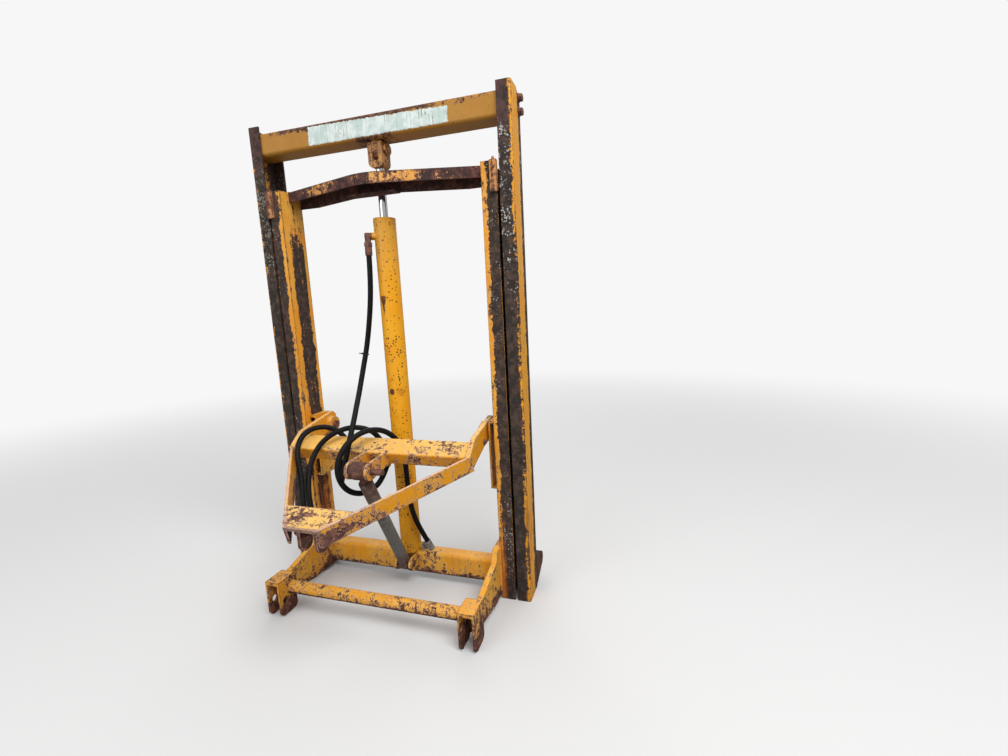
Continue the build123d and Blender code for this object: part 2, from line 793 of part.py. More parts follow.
export_step(tilt_barrel.part, "parts/tilt_barrel.step")

piston_end = tilt_piston_start + tilt_piston_length
with BuildPart() as tilt_rod:
    with BuildSketch(tilt_plane):
        Polygon(
            (0, tilt_piston_start), (tilt_bore_radius - piston_gap, tilt_piston_start),
            (tilt_bore_radius - piston_gap, piston_end), (tilt_rod_radius, piston_end),
            (tilt_rod_radius, tilt_length), (0, tilt_length), align=None,
        )
    revolve(axis=tilt_axis)
    for half_width, radius in ((eye_half_width, eye_radius), (collar_half_width, collar_radius)):
        with BuildSketch(side(-half_width)):
            with Locations((eye_y, eye_height)):
                Circle(radius)
        extrude(amount=2 * half_width)
    with BuildSketch(side(-eye_half_width)):
        with Locations((eye_y, eye_height)):
            Circle(tilt_pin_radius + eye_gap)
    extrude(amount=2 * eye_half_width, mode=Mode.SUBTRACT)
tilt_rod.part.label = "tilt_rod"
export_step(tilt_rod.part, "parts/tilt_rod.step")

# Hoses, each a tube along straight runs that arcs join
hose_ends = {}
for name, route in HOSE_ROUTES:
    points = [Vector(across, mast_front + rearward, up) for across, rearward, up in route]
    runs = [after - before for before, after in zip(points, points[1:])]
    bends = [
        0.45 * min(run_in.length, run_out.length) / tan(radians(run_in.get_angle(run_out) / 2))
        for run_in, run_out in zip(runs, runs[1:])
    ]
    with BuildPart() as hose:
        with BuildLine() as centre:
            FilletPolyline(*points, radius=bends)
        with BuildSketch(Plane(origin=points[0], z_dir=runs[0])):
            Circle(hose_radius)
        sweep(path=centre.wires()[0])
    hose.part.label = name
    export_step(hose.part, f"parts/{name}.step")
    hose_ends[name] = ((points[0], -runs[0].normalized()), (points[-1], runs[-1].normalized()))
    length = centre.wires()[0].length
    print(name, "length", round(length), "radii", [round(bend) for bend in bends])
    print(name, "volume over section times length", hose.part.volume / (pi * hose_radius**2 * length))

# Fitting on the upper port of the lift cylinder: an elbow, a nut and the long hose's ferrule
lift_middle = Vector(0, mast_front + lift_y)
upper_end, upper_way = hose_ends["long_hose"][0]
with BuildPart() as upper_port_fitting:
    with BuildSketch(Plane(origin=upper_end, z_dir=upper_way)):
        Circle(ferrule_radius)
    extrude(amount=ferrule_length)
    with BuildSketch(Plane(origin=upper_end + ferrule_length * upper_way, z_dir=upper_way)):
        RegularPolygon(nut_radius, 6)
    extrude(amount=nut_thick)
    with BuildSketch(Plane(origin=upper_end, z_dir=upper_way)):
        Circle(fitting_radius)
    extrude(amount=upper_port_height + fitting_radius - upper_end.Z)
    port_face = lift_middle + port_boss_reach * upper_port_way + Vector(0, 0, upper_port_height)
    with BuildSketch(Plane(origin=port_face, z_dir=upper_port_way)):
        Circle(fitting_radius)
    extrude(amount=2 * fitting_radius)
upper_port_fitting.part.label = "upper_port_fitting"
export_step(upper_port_fitting.part, "parts/upper_port_fitting.step")

# Fitting on the base port: an elbow and the loop hose's long ferrule
base_end, base_way = hose_ends["loop_hose"][0]
with BuildPart() as base_port_fitting:
    with BuildSketch(Plane(origin=base_end, z_dir=base_way)):
        Circle(ferrule_radius)
    extrude(amount=base_ferrule_length)
    port_face = lift_middle + Vector(port_boss_reach, 0, base_port_height)
    with BuildSketch(Plane(origin=port_face, z_dir=(1, 0, 0))):
        Circle(fitting_radius)
    extrude(amount=base_fitting_reach - port_boss_reach)
    with BuildSketch(Plane(origin=port_face, z_dir=(1, 0, 0))):
        RegularPolygon(nut_radius, 6)
    extrude(amount=nut_thick)
base_port_fitting.part.label = "base_port_fitting"
export_step(base_port_fitting.part, "parts/base_port_fitting.step")

# Hose rail: an angle under the rear edge of the tilt beam, with a ferrule for each hose on it
beam_rear_y = beam_low_y + beam_wide * along_y
beam_rear_height = beam_low_height + beam_wide * along_z
leg_top = beam_rear_height - rail_thick * along_z / along_y
with BuildPart() as hose_rail:
    with BuildSketch(side(rail_left)):
        Polygon(
            (beam_rear_y, beam_rear_height), (beam_rear_y - rail_thick, leg_top),
            (beam_rear_y - rail_thick, rail_height), (rail_rear, rail_height),
            (rail_rear, rail_height + rail_thick), (beam_rear_y, rail_height + rail_thick),
            align=None,
        )
    extrude(amount=rail_right - rail_left)
    with BuildSketch(level(rail_height)):
        with Locations((0, lift_y)):
            Circle(lift_barrel_radius + rail_notch_gap)
    extrude(amount=rail_thick, mode=Mode.SUBTRACT)
    for name, which in (("long_hose", 1), ("loop_hose", 1), ("inner_hose", 0), ("outer_hose", 0)):
        hose_end, onward = hose_ends[name][which]
        with BuildSketch(Plane(origin=hose_end, z_dir=onward)):
            Circle(ferrule_radius)
        extrude(amount=ferrule_length)
hose_rail.part.label = "hose_rail"
export_step(hose_rail.part, "parts/hose_rail.step")

# Couplers for the tractor's outlets, parked in a plate under the apex plate
coupler_plate_top = Plane(
    origin=frame_top.origin - apex_thick * frame_top.z_dir, x_dir=(1, 0, 0), z_dir=frame_top.z_dir,
)
with BuildPart() as hose_couplers:
    with BuildSketch(face(coupler_plate_y)):
        with Locations(((coupler_plate_left + coupler_plate_right) / 2, apex_height)):
            Rectangle(
                coupler_plate_right - coupler_plate_left, 2 * (apex_height - coupler_plate_bottom)
            )
    extrude(amount=rail_thick)
    split(bisect_by=coupler_plate_top, keep=Keep.BOTTOM)
    for name in ("inner_hose", "outer_hose"):
        hose_end, onward = hose_ends[name][1]
        with BuildSketch(Plane(origin=hose_end, z_dir=onward)):
            Circle(coupler_radius)
        extrude(amount=coupler_length)
hose_couplers.part.label = "hose_couplers"
export_step(hose_couplers.part, "parts/hose_couplers.step")
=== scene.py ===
import math
import random

import bmesh
import bpy
from mathutils import Matrix, Vector


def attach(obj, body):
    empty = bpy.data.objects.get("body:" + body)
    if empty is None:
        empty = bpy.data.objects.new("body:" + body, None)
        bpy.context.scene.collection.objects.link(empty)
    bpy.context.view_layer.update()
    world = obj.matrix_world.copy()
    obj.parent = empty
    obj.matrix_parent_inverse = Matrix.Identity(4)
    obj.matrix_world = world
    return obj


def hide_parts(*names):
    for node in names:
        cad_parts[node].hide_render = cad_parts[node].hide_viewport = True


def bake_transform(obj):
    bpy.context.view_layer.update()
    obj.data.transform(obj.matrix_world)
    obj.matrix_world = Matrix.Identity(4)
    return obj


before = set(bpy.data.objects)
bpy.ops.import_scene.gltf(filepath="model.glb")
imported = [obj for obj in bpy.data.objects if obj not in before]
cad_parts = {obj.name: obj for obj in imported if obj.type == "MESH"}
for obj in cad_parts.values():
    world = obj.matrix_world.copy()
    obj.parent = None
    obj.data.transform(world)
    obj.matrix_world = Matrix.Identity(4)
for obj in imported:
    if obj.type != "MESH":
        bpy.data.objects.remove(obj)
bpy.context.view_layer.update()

# The camera stands to the right of the mast, at chest height. It has a phone's wide lens, and it is
# tipped down a little and rolled a little to the left.
stand = Vector((1.0249, -1.5077, 1.2158))
yaw, pitch, roll = (math.radians(angle) for angle in (-17.4117, -9.1214, -2.6699))
ahead = Vector((math.sin(yaw) * math.cos(pitch), math.cos(yaw) * math.cos(pitch), math.sin(pitch)))
level_right = Vector((math.cos(yaw), -math.sin(yaw), 0))
level_up = level_right.cross(ahead)
right = math.cos(roll) * level_right + math.sin(roll) * level_up
up = math.cos(roll) * level_up - math.sin(roll) * level_right
lens = bpy.data.cameras.new("phone_camera")
lens.sensor_fit = "HORIZONTAL"
lens.sensor_width = 36.0
lens.lens = 16.654
lens.clip_start = 0.02
camera = bpy.data.objects.new("phone_camera", lens)
camera.matrix_world = Matrix.Translation(stand) @ Matrix((right, up, -ahead)).transposed().to_4x4()
bpy.context.scene.collection.objects.link(camera)
bpy.context.scene.camera = camera

# Four black rubber hoses, 22 mm across. Two go to the lift cylinder, one to its top port and one to
# its base port. The other two run from the rail under the beam to the couplers under the apex. A
# nylon tie is cinched round the hose from the top port.
mast_front = 0.176
hose_diameter = 0.022


def add(tree, kind, **settings):
    """A new node: its properties, and its inputs by name or as in0, in1, set or linked."""
    node = tree.nodes.new(kind)
    for name, value in settings.items():
        if name in node.bl_rna.properties:
            setattr(node, name, value)
            continue
        number = name.startswith("in") and name[2:].isdigit()
        socket = node.inputs[int(name[2:])] if number else node.inputs[name.replace("_", " ")]
        if isinstance(value, bpy.types.NodeSocket):
            tree.links.new(value, socket)
        else:
            socket.default_value = value
    return node


def maths(tree, operation, first, second=0.0, third=0.0):
    return add(tree, "ShaderNodeMath", operation=operation, in0=first, in1=second,
               in2=third).outputs[0]


def product(tree, first, *others):
    """The values, multiplied together."""
    for other in others:
        first = maths(tree, "MULTIPLY", first, other)
    return first


def between(tree, value, low, high):
    """0 at low and beyond, 1 at high and beyond, and a smooth step between them."""
    return add(tree, "ShaderNodeMapRange", interpolation_type="SMOOTHSTEP", Value=value,
               From_Min=low, From_Max=high).outputs[0]


def noise(tree, vector, scale, detail=4.0, rough=0.6):
    return add(tree, "ShaderNodeTexNoise", Vector=vector, Scale=scale, Detail=detail,
               Roughness=rough).outputs["Fac"]


def mixed(tree, factor, first, second):
    """A mix of two colours, through the colour sockets of the node, which are 6, 7 and 2."""
    return add(tree, "ShaderNodeMix", data_type="RGBA", in0=factor, in6=first,
               in7=second).outputs[2]


def on_object(tree):
    """Object coordinates, which stay with a piece when it moves."""
    return add(tree, "ShaderNodeTexCoord").outputs["Object"]


def new_material(name):
    """A material with an empty node tree, and that tree."""
    made = bpy.data.materials.new(name)
    made.use_nodes = True
    made.node_tree.nodes.clear()
    return made, made.node_tree


def finish_surface(tree, colour, roughness, height, depth=0.001, metallic=0.0, gloss=0.25):
    """The shader of a hard piece, with its edges softened and its height as a bump."""
    eased = add(tree, "ShaderNodeBevel", samples=4, Radius=0.002)
    bump = add(tree, "ShaderNodeBump", Strength=1.0, Distance=depth, Height=height,
               Normal=eased.outputs[0])
    shader = add(tree, "ShaderNodeBsdfPrincipled", Base_Color=colour, Roughness=roughness,
                 Metallic=metallic, Specular_IOR_Level=gloss, Normal=bump.outputs[0])
    add(tree, "ShaderNodeOutputMaterial", Surface=shader.outputs[0])


def place(name, mesh, body, material, smooth=True):
    """A piece made of that mesh, with that material in its slot, which rides on a body if one is
    given.
    """
    piece = bpy.data.objects.new(name, mesh)
    bpy.context.scene.collection.objects.link(piece)
    mesh.materials.clear()
    mesh.materials.append(material)
    if smooth:
        mesh.shade_smooth()
    if body:
        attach(piece, body)
    return piece


rubber, tree = new_material("hose_rubber")
where = on_object(tree)
dust = between(tree, noise(tree, where, 16.0, 6.0, 0.7), 0.48, 0.72)
grit = noise(tree, where, 900.0, 2.0)
wrap = noise(tree, where, 240.0, 3.0)
finish_surface(
    tree, mixed(tree, dust, (0.0042, 0.0044, 0.0050, 1), (0.012, 0.0115, 0.011, 1)),
    maths(tree, "MULTIPLY_ADD", dust, 0.22, 0.44), maths(tree, "ADD", grit, wrap), 0.0006,
    gloss=0.15,
)

hose_routes = {
    "long_hose": (
        (-52, 10, 1430), (-53, 9, 1365), (-62, 10, 1262), (-84, 16, 1155), (-105, 14, 1055),
        (-118, -10, 962), (-120, -45, 880), (-116, -80, 826), (-109, -116, 777),
        (-104, -152, 728), (-101, -187, 674), (-109, -205, 611), (-134, -195, 555),
        (-168, -161, 518), (-203, -113, 510), (-232, -66, 533), (-246, -32, 578),
    ),
    "loop_hose": (
        (91, 47, 193), (78, 27, 246), (64, 11, 301), (53, 2, 358), (47, -2, 416), (45, -3, 474),
        (45, -4, 533), (44, -8, 592), (38, -20, 648), (22, -46, 698), (-4, -85, 733),
        (-35, -133, 745), (-64, -181, 732), (-87, -226, 699), (-101, -258, 646),
        (-98, -263, 585), (-82, -242, 532), (-58, -200, 501), (-31, -149, 500),
        (-10, -105, 529), (0, -78, 578),
    ),
    "inner_hose": (
        (-58, 2, 640), (-66, -24, 692), (-98, -57, 729), (-146, -92, 741), (-195, -126, 728),
        (-235, -158, 698), (-258, -190, 653), (-261, -221, 603), (-247, -254, 555),
        (-221, -288, 513), (-186, -323, 481), (-146, -361, 463), (-110, -403, 462),
        (-79, -444, 482),
    ),
    "outer_hose": (
        (-215, -14, 640), (-247, -17, 691), (-288, -45, 725), (-326, -92, 733),
        (-347, -145, 713), (-340, -191, 667), (-311, -222, 616), (-281, -249, 568),
        (-256, -281, 524), (-226, -317, 488), (-192, -357, 465), (-156, -401, 461),
        (-127, -447, 476),
    ),
}
hose_bends = {
    "long_hose": ("fixed_mast", "tilt_frame", (0, 0, 900), (0, -60, 760)),
    "loop_hose": ("fixed_mast", "tilt_frame", (0, 40, 400), (0, -40, 560)),
}


def at(across, rearward, height):
    """A place in metres, from millimetres across, behind the mast's front face, and up."""
    return Vector((across / 1000, mast_front + rearward / 1000, height / 1000))


for name, route in hose_routes.items():
    line = bpy.data.curves.new(name, "CURVE")
    line.dimensions = "3D"
    line.resolution_u = 12
    spline = line.splines.new("NURBS")
    spline.points.add(len(route) - 1)
    for point, place_mm in zip(spline.points, route):
        point.co = (*at(*place_mm), 1)
    spline.order_u = 3
    spline.use_endpoint_u = True
    drawn = bpy.data.objects.new(name + "_line", line)
    bpy.context.scene.collection.objects.link(drawn)
    middle = bpy.data.meshes.new_from_object(drawn)
    line.bevel_depth = hose_diameter / 2
    line.bevel_resolution = 4
    line.use_fill_caps = True
    bpy.context.view_layer.update()
    tube = bpy.data.meshes.new_from_object(drawn)
    bpy.data.objects.remove(drawn)
    bpy.data.meshes.remove(middle)
    if name in hose_bends:
        hose = place(name + "_rubber", tube, None, rubber)
        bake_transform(hose)
    else:
        hose = place(name + "_rubber", tube, "tilt_frame", rubber)
    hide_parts(name)

nylon, tree = new_material("nylon_tie")
where = on_object(tree)
teeth = add(tree, "ShaderNodeTexWave", Vector=where, Scale=260.0, wave_type="RINGS")
finish_surface(tree, mixed(tree, noise(tree, where, 60.0), (0.02, 0.02, 0.02, 1),
                           (0.07, 0.07, 0.065, 1)),
               product(tree, noise(tree, where, 90.0), 0.8), teeth.outputs["Fac"], 0.0003)


def join_rings(made, rings, closed=False):
    """Faces from each ring of vertices to the next, back to the first one or with capped ends."""
    for one, other in zip(rings, rings[1:] + rings[:1] if closed else rings[1:]):
        for number, corner in enumerate(one):
            after = (number + 1) % len(one)
            made.faces.new((corner, one[after], other[after], other[number]))
    if not closed:
        made.faces.new(rings[0][::-1])
        made.faces.new(rings[-1])


def mesh_of(name, made):
    """The mesh of a bmesh, which is done with."""
    mesh = bpy.data.meshes.new(name)
    made.to_mesh(mesh)
    made.free()
    return mesh


tie_middle, tie_way = at(-108, 10.5, 1031), Vector((-0.18, -0.16, -0.97)).normalized()
tie_side = tie_way.orthogonal().normalized()
tie_inside, tie_outside, tie_half = 0.0112, 0.0126, 0.0022
tie_profile = ((tie_inside, -tie_half), (tie_outside, -tie_half), (tie_outside, tie_half),
               (tie_inside, tie_half))
tie_steps = 28
tie, rings = bmesh.new(), []
for step in range(tie_steps):
    out = Matrix.Rotation(2 * math.pi * step / tie_steps, 3, tie_way) @ tie_side
    rings.append([tie.verts.new(tie_middle + out * radius + tie_way * along)
                  for radius, along in tie_profile])
join_rings(tie, rings, closed=True)
lock_size, lock_reach = (0.009, 0.006, 0.007), 0.0145
tail_size, tail_reach = (0.0144, 0.003, 0.004), 0.022
for size, reach in ((lock_size, lock_reach), (tail_size, tail_reach)):
    block = bmesh.ops.create_cube(tie, size=1.0)["verts"]
    bmesh.ops.scale(tie, vec=size, verts=block)
    bmesh.ops.translate(tie, vec=tie_middle + tie_side * reach, verts=block)
place("hose_tie", mesh_of("hose_tie", tie), "fixed_mast", nylon, smooth=False)

# The studio: a plain pale floor that runs into a pale surround, a broad lamp over the right
# shoulder for the sun-side, and two wide weak ones that open the shadows in front and behind.
surround_light, surround_seen = 0.58, 0.93


def scaled(tree, mask, low, high):
    """low where a mask is 0, high where it is 1."""
    return add(tree, "ShaderNodeMapRange", Value=mask, To_Min=low, To_Max=high).outputs[0]


surround = bpy.data.worlds.new("pale_surround")
bpy.context.scene.world = surround
surround.use_nodes = True
sky = surround.node_tree
sky.nodes.clear()
seen = add(sky, "ShaderNodeLightPath").outputs["Is Camera Ray"]
glow = add(sky, "ShaderNodeBackground", Color=(1.0, 1.0, 1.0, 1.0),
           Strength=scaled(sky, seen, surround_light, surround_seen))
add(sky, "ShaderNodeOutputWorld", Surface=glow.outputs[0])

floor_reach, floor_drop = 60.0, 0.0005
floor_mesh = bpy.data.meshes.new("studio_floor")
floor_mesh.from_pydata(
    [(x * floor_reach, y * floor_reach, -floor_drop)
     for x, y in ((-1, -1), (1, -1), (1, 1), (-1, 1))],
    [], [(0, 1, 2, 3)],
)
floor = bpy.data.objects.new("studio_floor", floor_mesh)
bpy.context.scene.collection.objects.link(floor)
pale, tree = new_material("pale_floor")
near = add(tree, "ShaderNodeBsdfPrincipled", Base_Color=(0.66, 0.66, 0.66, 1.0), Roughness=0.9)
far = add(tree, "ShaderNodeEmission", Color=(1.0, 1.0, 1.0, 1.0), Strength=surround_seen)
reach = add(tree, "ShaderNodeVectorMath", operation="LENGTH", in0=on_object(tree)).outputs["Value"]
fade = add(tree, "ShaderNodeMixShader", in0=between(tree, reach, 1.6, 7.0), in1=near.outputs[0],
           in2=far.outputs[0])
seen = add(tree, "ShaderNodeLightPath").outputs["Is Camera Ray"]
dim = add(tree, "ShaderNodeBsdfDiffuse", Color=(0.32, 0.31, 0.29, 1.0))
shown = add(tree, "ShaderNodeMixShader", in0=seen, in1=dim.outputs[0], in2=fade.outputs[0])
add(tree, "ShaderNodeOutputMaterial", Surface=shown.outputs[0])
floor_mesh.materials.append(pale)

lamp_target = Vector((0.0, 0.1, 0.9))
for name, place_m, size, power in (
    ("sun_side", (2.7, -2.0, 5.0), 3.0, 240.0),
    ("front_fill", (-2.2, -4.4, 2.6), 3.5, 85.0),
    ("back_fill", (-1.5, 4.0, 3.2), 3.0, 50.0),
):
    lamp = bpy.data.lights.new(name, "AREA")
    lamp.shape = "SQUARE"
    lamp.size = size
    lamp.energy = power
    lamp_object = bpy.data.objects.new(name, lamp)
    lamp_object.location = place_m
    aim = lamp_target - Vector(place_m)
    lamp_object.rotation_euler = aim.to_track_quat("-Z", "Y").to_euler()
    bpy.context.scene.collection.objects.link(lamp_object)

# The fixed mast's short channels, rolled steel that was sprayed yellow. The sliding mast has worn
# their front flanges bare, to a dark rust, and the webs keep ragged stripes of paint.
sides = {"left": -1, "right": 1}


def effect(name, takes, gives):
    """A shader node group, then its inputs and its outputs, as sockets to link to inside it."""
    group = bpy.data.node_groups.new(name, "ShaderNodeTree")
    for direction, sockets in (("INPUT", takes), ("OUTPUT", gives)):
        for label, kind in sockets:
            group.interface.new_socket(label, in_out=direction, socket_type="NodeSocket" + kind)
    ends = [group.nodes.new("NodeGroup" + end) for end in ("Input", "Output")]
    return group, ends[0].outputs, ends[1].inputs


def total(tree, *shares, base=0.0):
    """The sum of values, each times its weight, and of a base."""
    value = None
    for source, weight in shares:
        share = maths(tree, "MULTIPLY", source, weight)
        value = share if value is None else maths(tree, "ADD", value, share)
    return maths(tree, "ADD", value, base) if base else value


def stretched(tree, where, upward=0.07):
    """The same place, drawn out upward, for streaks that run down a face."""
    return add(tree, "ShaderNodeVectorMath", operation="MULTIPLY", in0=where,
               in1=(1.0, 1.0, upward)).outputs[0]


edge_wear, given, result = effect("edge_wear", (("Radius", "Float"),), (("Edge", "Float"),))
tree = edge_wear
turned = add(tree, "ShaderNodeBevel", samples=4, Radius=given["Radius"])
flat = add(tree, "ShaderNodeNewGeometry").outputs["Normal"]
apart = add(tree, "ShaderNodeVectorMath", operation="DOT_PRODUCT", in0=turned.outputs[0], in1=flat)
tree.links.new(between(tree, apart.outputs["Value"], 0.995, 0.80), result["Edge"])

rust_tone, given, result = effect(
    "rust_tone", (("Vector", "Vector"), ("Deep", "Color"), ("Bright", "Color")),
    (("Colour", "Color"), ("Height", "Float")),
)
tree = rust_tone
scab = noise(tree, given["Vector"], 38.0, 8.0, 0.7)
powder = noise(tree, given["Vector"], 300.0, 3.0)
toned = mixed(tree, between(tree, scab, 0.44, 0.62), given["Deep"], given["Bright"])
toned = mixed(tree, between(tree, powder, 0.62, 0.75), toned, given["Bright"])
tree.links.new(toned, result["Colour"])
tree.links.new(total(tree, (scab, 1.0), (powder, 0.35)), result["Height"])

aged_paint, given, result = effect(
    "aged_paint",
    (("Vector", "Vector"), ("Paint", "Color"), ("Faded", "Color"), ("Primer", "Color"),
     ("Deep", "Color"), ("Bright", "Color"), ("Fade", "Float"), ("Loss", "Float"),
     ("Edge", "Float"), ("Streak", "Float")),
    (("Colour", "Color"), ("Roughness", "Float"), ("Height", "Float"), ("Bare", "Float")),
)
tree = aged_paint
where = given["Vector"]
patch = noise(tree, where, 7.0, 4.0)
chip = noise(tree, where, 50.0, 9.0, 0.74)
fine = noise(tree, where, 180.0, 4.0, 0.7)
run = noise(tree, stretched(tree, where), 48.0, 4.0)
pull = product(tree, maths(tree, "SUBTRACT", run, 0.5), given["Streak"])
amount = total(tree, (patch, 0.30), (chip, 0.44), (fine, 0.26), (given["Edge"], 0.11), (pull, 0.45))
holds = maths(tree, "SUBTRACT", 0.68, product(tree, given["Loss"], 0.34))
over = maths(tree, "SUBTRACT", amount, holds)
bare = between(tree, over, -0.006, 0.006)
fringe = between(tree, over, -0.032, -0.008)
speckle = noise(tree, where, 170.0, 2.0)
spot = between(tree, total(tree, (speckle, 1.0), (given["Loss"], 0.16)), 0.715, 0.745)
sun = between(tree, total(tree, (patch, 1.0), (run, 0.35)), 0.48, 0.85)
colour = mixed(tree, product(tree, sun, given["Fade"]), given["Paint"], given["Faded"])
shade = product(tree, between(tree, run, 0.50, 0.78), 0.30)
colour = mixed(tree, shade, colour, given["Bright"])
colour = mixed(tree, product(tree, fringe, 0.75), colour, given["Primer"])
rusty = add(tree, "ShaderNodeGroup", node_tree=rust_tone, Vector=where, Deep=given["Deep"],
            Bright=given["Bright"]).outputs
colour = mixed(tree, product(tree, spot, 0.8), colour, given["Deep"])
colour = mixed(tree, bare, colour, rusty["Colour"])
raised = add(tree, "ShaderNodeMix", data_type="FLOAT", in0=bare, in2=1.0,
             in3=product(tree, rusty["Height"], 0.75)).outputs[0]
tree.links.new(colour, result["Colour"])
tree.links.new(total(tree, (scaled(tree, bare, 0.40, 0.80), 1.0), (fine, 0.16)), result["Roughness"])
tree.links.new(total(tree, (raised, 1.0), (fine, 0.10)), result["Height"])
tree.links.new(bare, result["Bare"])

lichen, given, result = effect("lichen", (("Vector", "Vector"), ("Amount", "Float")),
                               (("Mask", "Float"),))
tree = lichen
where = given["Vector"]
cell = add(tree, "ShaderNodeTexVoronoi", Vector=where, Scale=170.0)
lot = add(tree, "ShaderNodeSeparateColor", Color=cell.outputs["Color"]).outputs[0]
crowd = scaled(tree, between(tree, noise(tree, where, 11.0, 6.0, 0.7), 0.42, 0.62), 0.30, 1.0)
size = product(tree, crowd, given["Amount"], between(tree, lot, 0.35, 1.1))
ragged = total(tree, (cell.outputs["Distance"], 1.0), (noise(tree, where, 600.0, 2.0), 0.15))
tree.links.new(between(tree, maths(tree, "SUBTRACT", ragged, size), 0.06, -0.02), result["Mask"])


def zones(tree):
    """Object coordinates, their three parts, and how far the surface faces rearward and up."""
    coordinates = add(tree, "ShaderNodeTexCoord").outputs
    parts = add(tree, "ShaderNodeSeparateXYZ", Vector=coordinates["Object"]).outputs
    facing = add(tree, "ShaderNodeSeparateXYZ", Vector=coordinates["Normal"]).outputs
    return coordinates["Object"], parts, facing[1:]


def ragged_by(tree, where, reach):
    """An uneven offset, up to about half of reach each way, for a torn paint line."""
    coarse = maths(tree, "SUBTRACT", noise(tree, where, 16.0, 2.0), 0.5)
    fine = maths(tree, "SUBTRACT", noise(tree, where, 75.0, 6.0, 0.72), 0.5)
    return product(tree, maths(tree, "ADD", coarse, fine), reach)


def worn_edges(tree, radius):
    return add(tree, "ShaderNodeGroup", node_tree=edge_wear, Radius=radius).outputs[0]


def painted(tree, where, wear, loss, fade, streak, **colours):
    """Aged paint, with edges worn to a radius, and its colours by the group's names for them."""
    colours = {name.capitalize(): (*colour, 1.0) for name, colour in colours.items()}
    return add(tree, "ShaderNodeGroup", node_tree=aged_paint, Vector=where, Loss=loss, Fade=fade,
               Streak=streak, Edge=worn_edges(tree, wear), **colours).outputs


def finish_paint(tree, paint, depth, colour=None, gloss=0.25):
    """The shader of aged paint, with a colour of its own where something lies over the paint."""
    finish_surface(tree, paint["Colour"] if colour is None else colour, paint["Roughness"],
                   paint["Height"], depth, gloss=gloss)


def repaint(material, *names):
    """These CAD nodes show that material."""
    for name in names:
        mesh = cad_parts[name].data
        mesh.materials.clear()
        mesh.materials.append(material)


def both(*stems):
    """The names of these pieces, on the left and on the right."""
    return [f"{stem}_{side}" for stem in stems for side in sides]


short_webs, tree = new_material("short_channel_paint")
where, (x, y, z), (ny, _) = zones(tree)
front_face = between(tree, ny, -0.3, -0.7)
torn = ragged_by(tree, where, 0.030)
outward = maths(tree, "ADD", maths(tree, "ABSOLUTE", x), torn)
behind = maths(tree, "ADD", maths(tree, "SUBTRACT", y, mast_front), torn)
near_front = between(tree, behind, 0.014, 0.004)
tongues = between(tree, noise(tree, stretched(tree, where), 36.0, 3.0), 0.66, 0.58)
band = product(
    tree, between(tree, behind, 0.027, 0.035), between(tree, behind, 0.112, 0.104),
    between(tree, z, 1.66, 1.44), scaled(tree, tongues, 0.35, 1.0),
    scaled(tree, between(tree, z, 0.62, 0.50), 0.9, 0.45),
)
inner_strip = product(tree, front_face, between(tree, outward, 0.467, 0.461))
loss = total(tree, (front_face, 1.1), (inner_strip, -1.14), (band, 0.66), (near_front, 0.20),
             base=0.22)
paint = painted(tree, where, 0.008, loss, fade=0.8, streak=0.9, paint=(0.74, 0.285, 0.016),
                faded=(0.78, 0.42, 0.07), primer=(0.55, 0.20, 0.06), deep=(0.034, 0.025, 0.021),
                bright=(0.088, 0.052, 0.038))
streaks = noise(tree, stretched(tree, where), 42.0, 5.0, 0.7)
sodden = product(tree, between(tree, z, 0.66, 0.34), between(tree, streaks, 0.46, 0.60),
                 between(tree, outward, 0.476, 0.462))
coat = mixed(tree, product(tree, sodden, 0.8), paint["Colour"], (0.36, 0.095, 0.018, 1))
grown = add(tree, "ShaderNodeGroup", node_tree=lichen, Vector=where,
            Amount=product(tree, front_face, 0.62)).outputs[0]
finish_paint(tree, paint, 0.0008,
             mixed(tree, product(tree, grown, 0.8), coat, (0.42, 0.41, 0.38, 1)))
repaint(short_webs, *both("short_channel"))

# Guide blocks and rollers: small blocks bolted to the head of each short channel, and plain steel
# rollers on pins between the channels. Both are bare steel under a brown rust.
block_rust, tree = new_material("guide_block_rust")
paint = painted(tree, on_object(tree), 0.006, loss=0.56, fade=0.8, streak=0.8,
                paint=(0.60, 0.25, 0.060), faded=(0.62, 0.32, 0.14), primer=(0.42, 0.19, 0.10),
                deep=(0.070, 0.038, 0.030), bright=(0.21, 0.085, 0.045))
finish_paint(tree, paint, 0.0010)
repaint(block_rust, *both("guide_block"))

bare_rust, tree = new_material("bare_rusted_steel")
rusty = add(tree, "ShaderNodeGroup", node_tree=rust_tone, Vector=on_object(tree),
            Deep=(0.075, 0.034, 0.030, 1), Bright=(0.20, 0.088, 0.060, 1)).outputs
worn = mixed(tree, product(tree, worn_edges(tree, 0.004), 0.45), rusty["Colour"],
             (0.28, 0.15, 0.11, 1))
finish_surface(tree, worn, total(tree, (rusty["Height"], 0.2), base=0.62), rusty["Height"], 0.0012)
repaint(bare_rust, *both("fixed_roller", "lift_roller"))

# The arched crossmember, a bent channel between the heads of the short channels, with a stiffening
# plate under its rear flange. Most of its paint has gone, and its underside and the faces set back
# behind its front are painted dark as bare rust, a painted shade.
short_inside = 444.5
mast_head = 1722.0
arch_end, arch_peak = 0.052, -0.080
arch_front, arch_rear = 53, 122
arch_paint, tree = new_material("arch_paint")
where, (x, y, _), (_, nz) = zones(tree)
across = maths(tree, "ADD", x, ragged_by(tree, where, 0.26))
right_patch = product(tree, between(tree, across, -0.07, 0.09), between(tree, across, 0.31, 0.17))
left_patch = product(tree, between(tree, across, -0.32, -0.26), between(tree, across, -0.15, -0.21))
front_line = add(tree, "ShaderNodeMapRange", Value=maths(tree, "ABSOLUTE", x),
                 From_Max=short_inside / 1000, To_Min=mast_front + arch_peak,
                 To_Max=mast_front + arch_end).outputs[0]
# Undersides and faces set back behind the front line lose their paint to dark rust: painted shade.
set_back = between(tree, maths(tree, "SUBTRACT", y, front_line), 0.012, 0.024)
